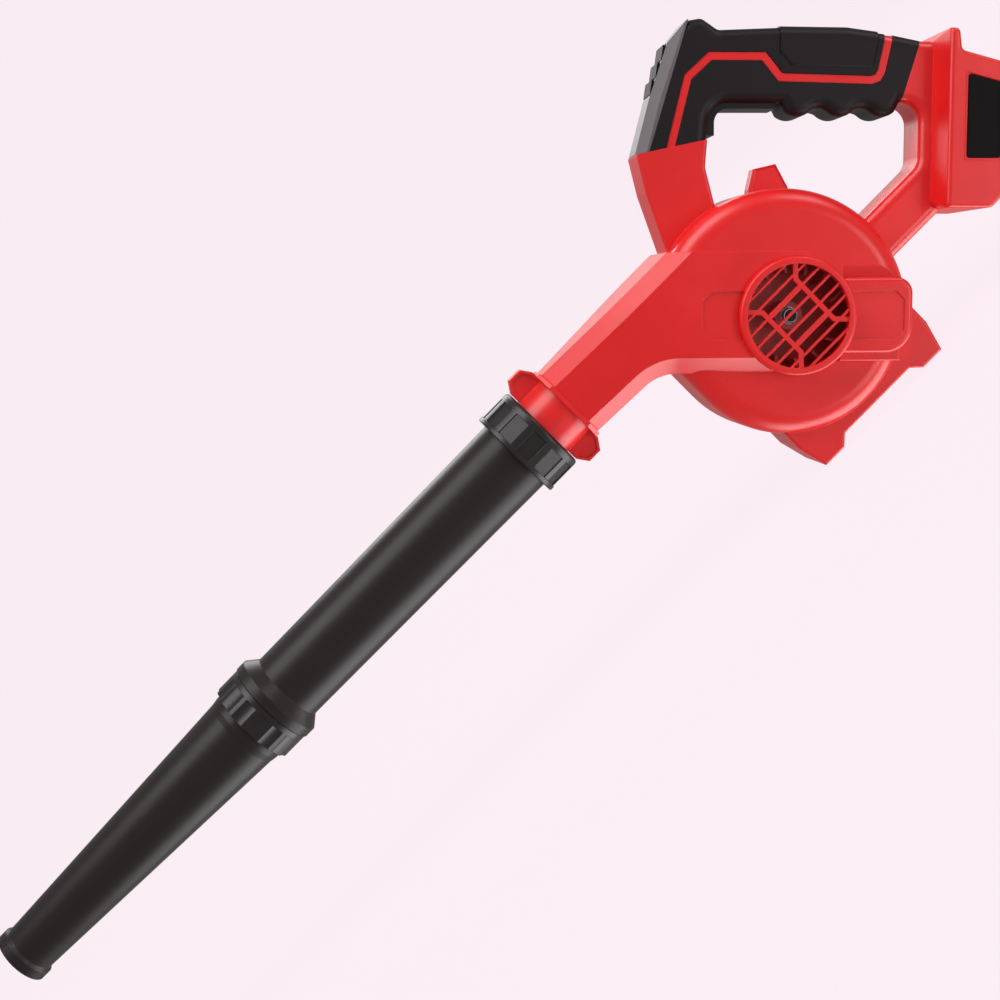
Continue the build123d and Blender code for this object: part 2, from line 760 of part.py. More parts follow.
# Outer masses of the housing
with BuildPart() as volute:
    with BuildSketch(SIDE.offset(-FAR_Y)):
        scroll()
    extrude(amount=LOW_Y + FAR_Y)
    fillet(volute.faces().sort_by(Axis.Y)[0].edges(), RIM_R)
    fillet(volute.faces().sort_by(Axis.Y)[-1].edges(), RIM_R)

with BuildPart() as crown:
    with BuildSketch(SIDE):
        scroll()
        outline(upper_half(0), Mode.INTERSECT)
    extrude(amount=HIGH_Y)
    fillet(crown.faces().sort_by(Axis.Y)[0].edges().filter_by(GeomType.CIRCLE), RIM_R)
    groove_x, groove_z = tilted(GROOVE_U[0], BAND_SLIM)
    with BuildSketch(Plane(origin=(groove_x, -HIGH_Y, groove_z), x_dir=GRIP_PLAN.z_dir, z_dir=TILTED.x_dir)):
        outline([(0, 0), (GROOVE_W, 0), (0, -GROOVE_DEPTH)])
    extrude(amount=GROOVE_U[1] - GROOVE_U[0], mode=Mode.SUBTRACT)

with BuildPart() as duct:
    with BuildSketch(SIDE):
        outline(duct_side())
        round_corners([tilted_at_height(BAND_LOW, DUCT_LOW)], TONGUE_R)
        for side, radius in BAND_CORNER_R.items():
            round_corners([tilted(BAND_END, side * BAND_SLIM)], radius)
    extrude(amount=3 * DUCT_H, both=True)
    with BuildSketch(Plane.XY):
        outline(duct_plan())
        round_corners([(DUCT_FLARE_X, -BAND_Y), (DUCT_FLARE_X, FAR_BAND_Y)], FLARE_R)
    extrude(amount=4 * DUCT_H, mode=Mode.INTERSECT)
    long_edges = [edge for edge in duct.edges() if on_duct_edge(edge.center())]
    chamfer(long_edges, DUCT_CHAMFER)
    fillet(duct.edges().filter_by(on_band_end), BAND_END_ROUND)

with BuildPart() as outlet:
    with BuildSketch(Plane.YZ.offset(DUCT_X - FLANGE_T)):
        with Locations((0, AXIS_Z)):
            Rectangle(2 * (DUCT_HALF + FLANGE_LIP), DUCT_H + 2 * FLANGE_LIP)
        chamfer(vertices(), DUCT_CHAMFER)
    extrude(amount=2 * FLANGE_T)
    tube_disc(STUB_R, MOUTH_X - STUB_REACH, DUCT_X)
    stub_fittings(MOUTH_X)
    for side in (1, -1):
        slab(SIDE, fin_outline(side), FIN_HALF, FIN_HALF)
        with BuildSketch(SIDE) as fin_face:
            outline(fin_outline(side))
            offset(amount=-FIN_RIM, mode=Mode.REPLACE)
        for y in (FIN_HALF, FIN_SINK - FIN_HALF):
            sunk = fin_face.sketch.moved(Location((0, y, 0)))
            extrude(sunk, amount=FIN_SINK, mode=Mode.SUBTRACT)

with BuildPart() as feet:
    slab(SIDE, foot_outline(), FOOT_HALF, FOOT_HALF)
    fillet(feet.faces().filter_by(Axis.Y).edges(), FOOT_ROUND)

with BuildPart() as ear:
    slab(TILTED, EAR, EAR_HALF, EAR_HALF)
    chamfer(ear.faces().filter_by(Axis.Y).edges(), EAR_BEVEL)

with BuildPart() as handle:
    with BuildSketch(TILTED):
        handle_sketch()
    extrude(amount=HANDLE_HALF, both=True)
    fillet(handle.faces().filter_by(Axis.Y).edges(), HANDLE_ROUND)

with BuildPart() as front_post:
    with BuildSketch(TILTED):
        handle_sketch(fingers=False)
        outline(post_zone(), Mode.INTERSECT)
    extrude(amount=HANDLE_HALF, both=True)
    fillet(front_post.faces().filter_by(Axis.Y).edges().filter_by(on_pad_line, reverse=True), POST_ROUND)

with BuildPart() as core:
    with BuildSketch(TILTED):
        handle_sketch(PAD_T, fingers=False)
    extrude(amount=HANDLE_HALF - PAD_T, both=True)
    fillet(core.faces().filter_by(Axis.Y).edges(), HANDLE_ROUND - PAD_T)

with BuildPart() as hollow:
    with BuildSketch(TILTED):
        handle_sketch(PAD_T + WALL, fingers=False)
    extrude(amount=HOLLOW_HALF, both=True)
    with BuildSketch(SIDE):
        scroll()
        outline(duct_side())
    extrude(amount=HANDLE_HALF, both=True, mode=Mode.SUBTRACT)

with BuildPart() as stripe:
    with BuildSketch(TILTED):
        handle_sketch(STRIPE_SINK, fingers=False)
    extrude(amount=HANDLE_HALF - STRIPE_SINK, both=True)
    fillet(stripe.faces().filter_by(Axis.Y).edges(), HANDLE_ROUND - STRIPE_SINK)
    with BuildSketch(TILTED):
        stripe_strip(STRIPE_W)
    extrude(amount=HANDLE_HALF, both=True, mode=Mode.INTERSECT)

with BuildPart() as ledge:
    slab(TILTED, box((BAND_LOW_JOG[1], LEDGE_END), (LEDGE_V, 0)), LEDGE_Y, -LOW_Y / 2)
    fillet(ledge.faces().sort_by(Axis.Y)[0].edges(), BAND_ROUND)

with BuildPart() as dock:
    drop_u = COLLAR_U + COLLAR_T
    crest, step = (drop_u - COLLAR_DROP, COLLAR_TOP), (drop_u, DOCK_TOP)
    bevel = [(DOCK_END - DOCK_BEVEL, DOCK_LOW), (DOCK_END, DOCK_LOW + DOCK_BEVEL)]
    with BuildSketch(TILTED):
        outline([
            (COLLAR_U, DOCK_LOW + COLLAR_SLOPE), (COLLAR_RIDGE_U, DOCK_LOW), *bevel,
            (DOCK_END, DOCK_TOP - DOCK_SLOPE), step, crest, (COLLAR_RIDGE_U, COLLAR_TOP),
            (COLLAR_U, COLLAR_TOP - COLLAR_SLOPE),
        ])
        round_corners([crest, step], COLLAR_R)
        round_corners(bevel, CORNER_R)
    extrude(amount=DOCK_HALF, both=True)
    neck_half = HANDLE_HALF - HANDLE_ROUND / 2
    with BuildSketch(GRIP_PLAN):
        outline([(COLLAR_U, -neck_half), (COLLAR_RIDGE_U, -DOCK_HALF), (DOCK_END, -DOCK_HALF),
                 (DOCK_END, DOCK_HALF), (COLLAR_RIDGE_U, DOCK_HALF), (COLLAR_U, neck_half)])
    extrude(amount=2 * COLLAR_TOP, mode=Mode.INTERSECT)
    fillet(dock.faces().filter_by(Axis.Y).edges(), DOCK_ROUND)

with BuildPart() as dome:
    fan_disc(DOME_R, FAR_Y - RIM_R, DOME_Y)
    fillet(dome.faces().sort_by(Axis.Y)[-1].edges(), DOME_ROUND)

# Hollows of the housing
with BuildPart() as chamber:
    with BuildSketch(SIDE.offset(-PARTITION_Y)):
        scroll(WALL)
    extrude(amount=LOW_Y - WALL + PARTITION_Y)
    fillet(chamber.faces().sort_by(Axis.Y)[0].edges(), RIM_R - WALL)

with BuildPart() as passage:
    with BuildSketch(Plane.YZ.offset(DUCT_X)):
        outline(passage_end(DUCT_HALF - WALL, DUCT_HALF - WALL))
    with BuildSketch(Plane.YZ.offset(DUCT_FLARE_X)):
        outline(passage_end(LOW_Y - WALL, PARTITION_Y))
    loft(ruled=True)
    with BuildSketch(Plane.YZ.offset(DUCT_FLARE_X)):
        outline(passage_end(LOW_Y - WALL, PARTITION_Y))
    extrude(amount=SCROLL_X - SCROLL_STEP - DUCT_FLARE_X)
    tube_disc(STUB_BORE_R, MOUTH_X - STUB_REACH - WALL, DUCT_X + WALL)

with BuildPart() as motor_bay:
    fan_disc(BAY_R, PARTITION_Y + WALL, FAR_Y - WALL)
    fillet(motor_bay.faces().sort_by(Axis.Y)[-1].edges(), RIM_R - WALL)
    fan_disc(DOME_R - WALL, PARTITION_Y, DOME_Y - WALL)

with BuildPart() as wire_way:
    with BuildSketch(Plane.XY.offset(FAN_Z + BAY_R - 2 * LEAD_PASS_R)):
        with Locations((LEAD_X, LEAD_Y)):
            Circle(LEAD_PASS_R)
    extrude(amount=DUCT_TOP + 3 * WALL - (FAN_Z + BAY_R - 2 * LEAD_PASS_R))

with BuildPart() as crown_hollow:
    with BuildSketch(SIDE):
        scroll(2 * RIM_R / 3)
        outline(upper_half(WALL), Mode.INTERSECT)
    extrude(amount=HIGH_Y - WALL)

with BuildPart() as band_hollow:
    wide_v = (BAND_LOW + DUCT_CHAMFER + WALL / 2, BAND_TOP - 2 * WALL)
    slim_v = (2 * WALL - BAND_SLIM, BAND_SLIM - 2 * WALL)
    slab(TILTED, box((-BAND_HOLLOW_U, BAND_JOG[0]), wide_v), BAND_Y - WALL, 0)
    slab(TILTED, box((-BAND_HOLLOW_U, BAND_END - 2 * WALL), slim_v), BAND_Y - WALL, 0)

with BuildPart() as dock_hollow:
    collar_u, neck_u = (COLLAR_RIDGE_U + WALL / 2, FLOOR_U - WALL), (COLLAR_U + WALL, FLOOR_U - WALL)
    collar_v = (DOCK_LOW + WALL, DOCK_TOP - DOCK_SLOPE / 2 - WALL)
    slab(TILTED, box(collar_u, collar_v), DOCK_HALF - WALL, DOCK_HALF - WALL)
    slab(TILTED, box(neck_u, (DOCK_LOW + 2 * WALL, collar_v[1])), HOLLOW_HALF, HOLLOW_HALF)
    recess_v = (RECESS_LOW, DOCK_TOP + WALL)
    slab(TILTED, box((FLOOR_U, DOCK_END + WALL), recess_v), RAIL_GAP, RAIL_GAP)
    slab(TILTED, box((FLOOR_U, FLOOR_U + RAIL_U), recess_v), RECESS_HALF, RECESS_HALF)
    slab(TILTED, box((FLOOR_U + RAIL_U + RAIL_T, DOCK_END + WALL), recess_v), RECESS_HALF, RECESS_HALF)
    foot_half = BLOCK_HALF - WALL
    slab(TILTED, box((FLOOR_U - 2 * WALL, FLOOR_U + WALL), block_foot()), foot_half, foot_half)

with BuildPart() as trigger_slot:
    slot_u = (OPEN_FRONT - TRIGGER_SEAT - RUN, TRIGGER_TAIL + RUN)
    slab(TILTED, box(slot_u, (TRIGGER_LEG - RUN, TRIGGER_TOP)), TRIGGER_HALF + RUN, TRIGGER_HALF + RUN)

with BuildPart() as motor_rest:
    rest_y = (MOTOR_END_Y + TAB_T + RUN, DOME_Y - WALL / 2)
    fan_disc(END_BELL_R + FIT + WALL, *rest_y)
    fan_disc(END_BELL_R + FIT, *rest_y, Mode.SUBTRACT)

# Whole housing, before it is parted into two halves
with BuildPart() as casing:
    for mass in (volute, crown, duct, ledge, outlet, feet, ear, dome, handle, front_post):
        add(mass.part)
    slab(TILTED, pad_zone(), HANDLE_HALF + WALL, HANDLE_HALF + WALL, Mode.SUBTRACT)
    add(core.part)
    slab(TILTED, cover_zone(FIT), HANDLE_HALF + WALL, HANDLE_HALF + WALL, Mode.SUBTRACT)
    for mass in (stripe, dock):
        add(mass.part)
    for space in (chamber, crown_hollow, band_hollow, passage, motor_bay, wire_way, hollow, dock_hollow,
                  trigger_slot):
        add(space.part, mode=Mode.SUBTRACT)
    for mark in (-1, 1):
        slab(TILTED, panel_outline(mark), BAND_Y + WALL, PANEL_DEPTH - BAND_Y, Mode.SUBTRACT)
    add(motor_rest.part)

    # Bosses, ribs and posts
    cylinders_y([(x, z, WALL - half, half - WALL) for x, z, half in screw_row()], BOSS_R)
    wall_y = HOLLOW_HALF + WALL / 2
    cylinders_y([(x, z, BOARD_Y + BOARD_T, wall_y) for x, z in board_posts()], BOARD_POST_R)
    rib_u = (PLUNGER_U - SWITCH_RIB_HALF, PLUNGER_U + SWITCH_RIB_HALF)
    rib = box(rib_u, (SWITCH_V + SWITCH_RIB[0], SWITCH_V + SWITCH_RIB[1]))
    slab(TILTED, rib, wall_y, -SWITCH_HALF)
    slab(TILTED, rib, -SWITCH_HALF, wall_y)

    # Holes and vents
    for x, z, half in screw_row():
        seat = screw_seat(half)
        cylinders_y([(x, z, -screw_depth(half) - RUN, 0)], SCREW_R + THREAD_GAP, Mode.SUBTRACT)
        cylinders_y([(x, z, 0, seat)], SCREW_R + FIT, Mode.SUBTRACT)
        cylinders_y([(x, z, seat, half + WALL)], SCREW_HEAD_R + 2 * FIT, Mode.SUBTRACT)
    plate_holes = [(x, z, PARTITION_Y - FIT, PARTITION_Y + WALL + FIT) for x, z in plate_screw_places()]
    cylinders_y(plate_holes, SCREW_R + THREAD_GAP, Mode.SUBTRACT)
    fan_disc(SPIGOT_R + FIT, -BAND_Y - WALL, 2 * WALL - LOW_Y, Mode.SUBTRACT)
    with BuildSketch(TILTED.offset(DOCK_HALF - PLATE_SINK)):
        plate_sketch()
        offset(amount=FIT, mode=Mode.REPLACE)
    extrude(amount=WALL, mode=Mode.SUBTRACT)
    with BuildSketch(Plane.XZ.offset(-DOME_Y)):
        with Locations((0, FAN_Z)):
            with PolarLocations(VENT_R, VENTS):
                Rectangle(VENT_L, VENT_W)
    extrude(amount=2 * WALL, mode=Mode.SUBTRACT)

with BuildPart() as left_housing:
    add(casing.part)
    split(bisect_by=Plane.XZ, keep=Keep.TOP)

with BuildPart() as right_housing:
    add(casing.part)
    split(bisect_by=Plane.XZ, keep=Keep.BOTTOM)

# Soft pads and vent cover around the core of the handle
with BuildPart() as pad_space:
    with BuildSketch(TILTED):
        handle_sketch(PAD_T - THREAD_GAP, fingers=False)
    extrude(amount=HANDLE_HALF - PAD_T + THREAD_GAP, both=True)
    fillet(pad_space.faces().filter_by(Axis.Y).edges(), HANDLE_ROUND - PAD_T)

with BuildPart() as pad_skin:
    add(handle.part)
    slab(TILTED, pad_zone(), HANDLE_HALF, HANDLE_HALF, Mode.INTERSECT)
    slab(TILTED, cover_zone(FIT), HANDLE_HALF, HANDLE_HALF, Mode.SUBTRACT)
    add(pad_space.part, mode=Mode.SUBTRACT)
    add(trigger_slot.part, mode=Mode.SUBTRACT)
    with BuildSketch(TILTED):
        stripe_strip(STRIPE_W + 2 * FIT)
    extrude(amount=HANDLE_HALF, both=True, mode=Mode.SUBTRACT)

pieces = {"left_housing": left_housing, "right_housing": right_housing}
front_reach, rear_reach = (PAD_FRONT[0][0], PAD_SEAM_U), (PAD_SEAM_U + FIT, PAD_REAR[1][0])
pad_v = (PAD_FRONT[0][1], PAD_REAR[1][1])
for side, keep in (("left", Keep.TOP), ("right", Keep.BOTTOM)):
    with BuildPart() as head_pad:
        add(pad_skin.part)
        slab(TILTED, upper_zone(), HANDLE_HALF, HANDLE_HALF, Mode.INTERSECT)
        slab(TILTED, box(front_reach, pad_v), HANDLE_HALF, HANDLE_HALF, Mode.INTERSECT)
        split(bisect_by=Plane.XZ, keep=keep)
    with BuildPart() as palm_pad:
        add(pad_skin.part)
        slab(TILTED, upper_zone(), HANDLE_HALF, HANDLE_HALF, Mode.INTERSECT)
        slab(TILTED, box(rear_reach, pad_v), HANDLE_HALF, HANDLE_HALF, Mode.INTERSECT)
        split(bisect_by=Plane.XZ, keep=keep)
    with BuildPart() as finger_pad:
        add(pad_skin.part)
        slab(TILTED, upper_zone(), HANDLE_HALF, HANDLE_HALF, Mode.SUBTRACT)
        split(bisect_by=Plane.XZ, keep=keep)
    pieces[f"{side}_head_pad"] = head_pad
    pieces[f"{side}_palm_pad"] = palm_pad
    pieces[f"{side}_finger_pad"] = finger_pad

with BuildPart() as vent_cover:
    slab(TILTED, cover_outline(), HANDLE_HALF, HANDLE_HALF)
    front_edges = vent_cover.faces().filter_by(Axis.Y).edges().filter_by(on_cover_front)
    chamfer(front_edges, COVER_BEVEL)
    add(pad_space.part, mode=Mode.SUBTRACT)
    for i in range(LOUVRES):
        start = LOUVRE_START + i * (LOUVRE_L + LOUVRE_GAP)
        end, gap_end = start + LOUVRE_L, start + LOUVRE_L + LOUVRE_GAP
        slat = [louvre_at(start, -PAD_T / 2), louvre_at(start, 0),
                louvre_at(end, LOUVRE_PROUD), louvre_at(end, -PAD_T / 2)]
        slit = [louvre_at(end, -2 * PAD_T), louvre_at(end, LOUVRE_PROUD),
                louvre_at(gap_end, LOUVRE_PROUD), louvre_at(gap_end, -2 * PAD_T)]
        slab(TILTED, slat, LOUVRE_HALF, LOUVRE_HALF)
        slab(TILTED, slit, LOUVRE_HALF - PAD_T, LOUVRE_HALF - PAD_T, Mode.SUBTRACT)

# Intake grille
with BuildPart() as intake_grille:
    front_y = -BAND_Y - GRILLE_PROUD
    fan_disc(GRILLE_R, front_y, -BAND_Y)
    fillet(intake_grille.faces().sort_by(Axis.Y)[0].edges(), GRILLE_ROUND)
    fan_disc(SPIGOT_R, -BAND_Y, WALL - BAND_Y)
    fan_disc(INTAKE_R, front_y, WALL - BAND_Y, Mode.SUBTRACT)
    with BuildSketch(Plane.XZ.offset(-front_y - BAR_SINK - BAR_DEPTH)):
        for i in range(BARS):
            with Locations((0, FAN_Z + (i - (BARS - 1) / 2) * BAR_PITCH)):
                Rectangle(2 * GRILLE_R, BAR_T)
        for side in (1, -1):
            with Locations((0, FAN_Z + side * RIB_ROW * BAR_PITCH)):
                Rectangle(2 * RIB_X, RIB_T)
            end_x, end_z = RIB_END
            bends = [(end_x, -end_z), (RIB_X, -RIB_BEND_Z), (RIB_X, RIB_BEND_Z), (end_x, end_z)]
            with BuildLine() as rib_line:
                Polyline(*[(side * x, FAN_Z + z) for x, z in bends])
            trace(rib_line.edges(), RIB_T)
        with Locations((0, FAN_Z)):
            Circle(INTAKE_R + BAR_T / 2, mode=Mode.INTERSECT)
    extrude(amount=BAR_DEPTH)

# Trigger and switch
with BuildPart() as trigger:
    front_u = OPEN_FRONT - TRIGGER_SEAT
    low = GRIP_LOW - TRIGGER_PROUD
    inner = (front_u + TRIGGER_LEG_T, low)
    with BuildSketch(TILTED):
        outline([(front_u, TRIGGER_LEG), (inner[0], TRIGGER_LEG), inner, (TRIGGER_TAIL, low),
                 (TRIGGER_TAIL, TRIGGER_TOP), (front_u, TRIGGER_TOP)])
        round_corners([inner], TRIGGER_R)
    extrude(amount=TRIGGER_HALF, both=True)
    flange_half = TRIGGER_HALF + TRIGGER_FLANGE
    flange = box((front_u, TRIGGER_TAIL), (TRIGGER_TOP - TRIGGER_FLANGE_T, TRIGGER_TOP))
    slab(TILTED, flange, flange_half, flange_half)

with BuildPart() as switch_plunger:
    rod_v(PLUNGER_U, PLUNGER_R, TRIGGER_TOP, SWITCH_V + PLUNGER_ENTRY)

with BuildPart() as trigger_spring:
    rod_v(PLUNGER_U, SPRING_R, TRIGGER_TOP, SWITCH_V)
    rod_v(PLUNGER_U, SPRING_R - SPRING_T, TRIGGER_TOP, SWITCH_V, Mode.SUBTRACT)

with BuildPart() as switch_module:
    switch_u = (PLUNGER_U - SWITCH_HALF_U, PLUNGER_U + SWITCH_HALF_U)
    slab(TILTED, box(switch_u, (SWITCH_V, SWITCH_V + SWITCH_H)), SWITCH_HALF, SWITCH_HALF)
    rod_v(PLUNGER_U, PLUNGER_R + RUN, SWITCH_V, SWITCH_V + PLUNGER_BORE, Mode.SUBTRACT)

with BuildPart() as controller_board:
    slab(TILTED, box(BOARD_U, BOARD_V), -BOARD_Y, BOARD_Y + BOARD_T)

# Battery dock
with BuildPart() as terminal_block:
    block_u = (FLOOR_U, FLOOR_U + BLOCK_H)
    slab(TILTED, box(block_u, BLOCK_V), BLOCK_HALF, BLOCK_HALF)
    foot_v = (block_foot()[0] + FIT, block_foot()[1] - FIT)
    foot_half = BLOCK_HALF - WALL - FIT
    slab(TILTED, box((BATTERY_ROUTE[0][0], FLOOR_U), foot_v), foot_half, foot_half)
    blade_u = (FLOOR_U + (BLOCK_H - TERMINAL_W) / 2, FLOOR_U + (BLOCK_H + TERMINAL_W) / 2)
    blade_v = (BLOCK_V[1] - TERMINAL_L, BLOCK_V[1] + TERMINAL_L)
    blade_gaps = [-BLADE_GAP, 0, BLADE_GAP]
    for y in blade_gaps:
        half = TERMINAL_T / 2 + THREAD_GAP
        slab(TILTED, box(blade_u, blade_v), half - y, half + y, Mode.SUBTRACT)

with BuildPart() as battery_terminals:
    for y in blade_gaps:
        slab(TILTED, box(blade_u, blade_v), TERMINAL_T / 2 - y, TERMINAL_T / 2 + y)

with BuildPart() as dock_plate:
    with BuildSketch(TILTED.offset(DOCK_HALF - PLATE_SINK)):
        plate_sketch()
    extrude(amount=PLATE_SINK + PLATE_PROUD)

# Motor
with BuildPart() as motor_can:
    fan_disc(MOTOR_R, MOTOR_Y, MOTOR_END_Y)
    fan_disc(MOTOR_R - CAN_T, MOTOR_Y + CAN_T, MOTOR_END_Y, Mode.SUBTRACT)
    fan_disc(MOTOR_BOSS_R, MOTOR_Y - MOTOR_BOSS_L, MOTOR_Y)
    fan_disc(BUSH_R + THREAD_GAP, MOTOR_Y - MOTOR_BOSS_L, MOTOR_Y + CAN_T, Mode.SUBTRACT)
    can_holes = [(x, FAN_Z, MOTOR_Y, MOTOR_Y + CAN_T) for x in (-CAN_SCREW_X, CAN_SCREW_X)]
    cylinders_y(can_holes, SCREW_R + THREAD_GAP, Mode.SUBTRACT)

with BuildPart() as end_bell:
    spigot_y = MOTOR_END_Y - BELL_SPIGOT_L
    fan_disc(END_BELL_R, MOTOR_END_Y, MOTOR_END_Y + END_BELL_L)
    fan_disc(MOTOR_R - CAN_T - FIT, spigot_y, MOTOR_END_Y)
    fan_disc(BELL_SPIGOT_IN, spigot_y, MOTOR_END_Y, Mode.SUBTRACT)
    fan_disc(BUSH_R + THREAD_GAP, MOTOR_END_Y, MOTOR_END_Y + END_BELL_L, Mode.SUBTRACT)
    tab_z = (FAN_Z + END_BELL_R - CAN_T, FAN_Z + TAB_R)
    tab_x = (LEAD_X - TAB_HALF, LEAD_X + TAB_HALF)
    slab(SIDE, box(tab_x, tab_z), -MOTOR_END_Y, MOTOR_END_Y + TAB_T)
    slot_half = BRUSH_W / 2 + FIT
    brush_slot = box((-MOTOR_R, MOTOR_R), (FAN_Z - slot_half, FAN_Z + slot_half))
    slab(SIDE, brush_slot, FIT - BRUSH_Y, BRUSH_Y + BRUSH_W + FIT, Mode.SUBTRACT)

with BuildPart() as carbon_brushes:
    brush_z = (FAN_Z - BRUSH_W / 2, FAN_Z + BRUSH_W / 2)
    for side in (1, -1):
        brush_x = (side * (COMMUTATOR_R + BRUSH_GAP), side * BRUSH_END_R)
        slab(SIDE, box(brush_x, brush_z), -BRUSH_Y, BRUSH_Y + BRUSH_W)

with BuildPart() as field_magnets:
    magnet_y = (MOTOR_Y + MAGNET_Y, MOTOR_Y + MAGNET_Y + MAGNET_L)
    magnet_r = MOTOR_R - CAN_T - THREAD_GAP
    fan_disc(magnet_r, *magnet_y)
    fan_disc(magnet_r - MAGNET_T, *magnet_y, Mode.SUBTRACT)
    wedge_z = MOTOR_R * math.tan(math.radians(90 - MAGNET_ARC / 2))
    for side in (1, -1):
        wedge = [(0, FAN_Z), (side * MOTOR_R, FAN_Z - wedge_z), (side * MOTOR_R, FAN_Z + wedge_z)]
        slab(SIDE, wedge, -magnet_y[0], magnet_y[1], Mode.SUBTRACT)

with BuildPart() as armature_core:
    core_y = (MOTOR_Y + ARMATURE_Y, MOTOR_Y + ARMATURE_Y + ARMATURE_L)
    fan_disc(ARMATURE_R, *core_y)
    fan_disc(SHAFT_R + THREAD_GAP, *core_y, Mode.SUBTRACT)

with BuildPart() as armature_windings:
    for y_from, y_to in ((core_y[0] - WINDING_L, core_y[0]), (core_y[1], core_y[1] + WINDING_L)):
        fan_disc(WINDING_R, y_from, y_to)
        fan_disc(SHAFT_R + THREAD_GAP, y_from, y_to, Mode.SUBTRACT)

with BuildPart() as commutator:
    commutator_y = (MOTOR_Y + COMMUTATOR_Y, MOTOR_Y + COMMUTATOR_Y + COMMUTATOR_L)
    fan_disc(COMMUTATOR_R, *commutator_y)
    fan_disc(SHAFT_R + THREAD_GAP, *commutator_y, Mode.SUBTRACT)

with BuildPart() as motor_shaft:
    fan_disc(SHAFT_R, HUB_Y - SHAFT_FRONT, MOTOR_END_Y + END_BELL_L - SHAFT_TAIL)

with BuildPart() as front_bush:
    bush_y = (MOTOR_Y - MOTOR_BOSS_L, MOTOR_Y - MOTOR_BOSS_L + BUSH_L)
    fan_disc(BUSH_R, *bush_y)
    fan_disc(SHAFT_R + SHAFT_GAP, *bush_y, Mode.SUBTRACT)

with BuildPart() as rear_bush:
    bush_y = (MOTOR_END_Y, MOTOR_END_Y + BUSH_L)
    fan_disc(BUSH_R, *bush_y)
    fan_disc(SHAFT_R + SHAFT_GAP, *bush_y, Mode.SUBTRACT)

with BuildPart() as motor_plate:
    plate_y = (MOTOR_Y - PLATE_T, MOTOR_Y)
    fan_disc(PLATE_R, *plate_y)
    fan_disc(MOTOR_BOSS_R + FIT, *plate_y, Mode.SUBTRACT)
    plate_holes = [(x, z, *plate_y) for x, z in plate_screw_places()]
    plate_holes += [(x, FAN_Z, *plate_y) for x in (-CAN_SCREW_X, CAN_SCREW_X)]
    cylinders_y(plate_holes, SCREW_R + FIT, Mode.SUBTRACT)

with BuildPart() as motor_screws:
    for x in (-CAN_SCREW_X, CAN_SCREW_X):
        cylinders_y([(x, FAN_Z, MOTOR_Y - PLATE_T, MOTOR_Y + CAN_T)], SCREW_R)
        cylinders_y([(x, FAN_Z, MOTOR_Y - PLATE_T - SCREW_HEAD_T, MOTOR_Y - PLATE_T)], SCREW_HEAD_R)

with BuildPart() as plate_screws:
    for x, z in plate_screw_places():
        cylinders_y([(x, z, MOTOR_Y - PLATE_SCREW_L, MOTOR_Y)], SCREW_R)
        cylinders_y([(x, z, MOTOR_Y, MOTOR_Y + SCREW_HEAD_T)], SCREW_HEAD_R)

# Fan
with BuildPart() as impeller:
    back_y = FAN_Y - FAN_PLATE_T
    fan_disc(FAN_R, back_y, FAN_Y)
    fan_disc(HUB_R, HUB_Y, back_y)
    fan_disc(SHAFT_R + THREAD_GAP, HUB_Y, FAN_Y, Mode.SUBTRACT)
    with BuildSketch(Plane.XZ.offset(-back_y)):
        middle_r = (BLADE_IN_R + FAN_R) / 2
        blade_ends = (BLADE_IN_R, 0), (middle_r, BLADE_SWEEP / 3), (FAN_R - BLADE_T, BLADE_SWEEP)
        for i in range(BLADE_COUNT):
            turns = [(r, math.radians(i * 360 / BLADE_COUNT + sweep)) for r, sweep in blade_ends]
            with BuildLine() as blade:
                ThreePointArc(*[(r * math.cos(a), FAN_Z + r * math.sin(a)) for r, a in turns])
            trace(blade.edges(), BLADE_T)
    extrude(amount=BLADE_H)
    ring_y = (back_y - BLADE_H - FAN_RING_T, back_y - BLADE_H)
    with BuildSketch(Plane.XZ.offset(-ring_y[1])):
        with Locations((0, FAN_Z)):
            Circle(FAN_R)
            Circle(FAN_RING_IN_R, mode=Mode.SUBTRACT)
    extrude(amount=FAN_RING_T)

with BuildPart() as impeller_washer:
    fan_disc(WASHER_R, HUB_Y - WASHER_T, HUB_Y)
    fan_disc(SHAFT_R + THREAD_GAP, HUB_Y - WASHER_T, HUB_Y, Mode.SUBTRACT)

with BuildPart() as impeller_nut:
    nut_y = (HUB_Y - WASHER_T - NUT_T, HUB_Y - WASHER_T)
    with BuildSketch(Plane.XZ.offset(-nut_y[1])):
        with Locations((0, FAN_Z)):
            RegularPolygon(NUT_AF / 2, 6, major_radius=False)
    extrude(amount=NUT_T)
    fan_disc(SHAFT_R + THREAD_GAP, *nut_y, Mode.SUBTRACT)

# Tube and nozzle
with BuildPart() as extension_tube:
    sleeve_x = MOUTH_X - SLEEVE_S
    flange_x = MOUTH_X - SLEEVE_END_S
    stub_end_x = NOZZLE_MOUTH_X - STUB_REACH
    turned([
        (sleeve_x, 0), (sleeve_x, SLEEVE_FLANGE_R), (flange_x, SLEEVE_FLANGE_R), (flange_x, TUBE_R0),
        (BELL_X + BELL_L, TUBE_R1), (BELL_X + BELL_L - BELL_CONE_L, BELL_R), (BELL_X, BELL_R),
        (BELL_X, STUB_R), (stub_end_x, STUB_R), (stub_end_x, 0),
    ])
    stub_fittings(NOZZLE_MOUTH_X)
    turned([
        (sleeve_x, 0), (sleeve_x, TUBE_BORE_R), (MOUTH_X - STUB_REACH - WALL, TUBE_BORE_R),
        (BELL_X + 2 * BELL_L, TUBE_R1 - WALL), (BELL_X + BELL_L, STUB_BORE_R), (stub_end_x, STUB_BORE_R),
        (stub_end_x, 0),
    ], Mode.SUBTRACT)

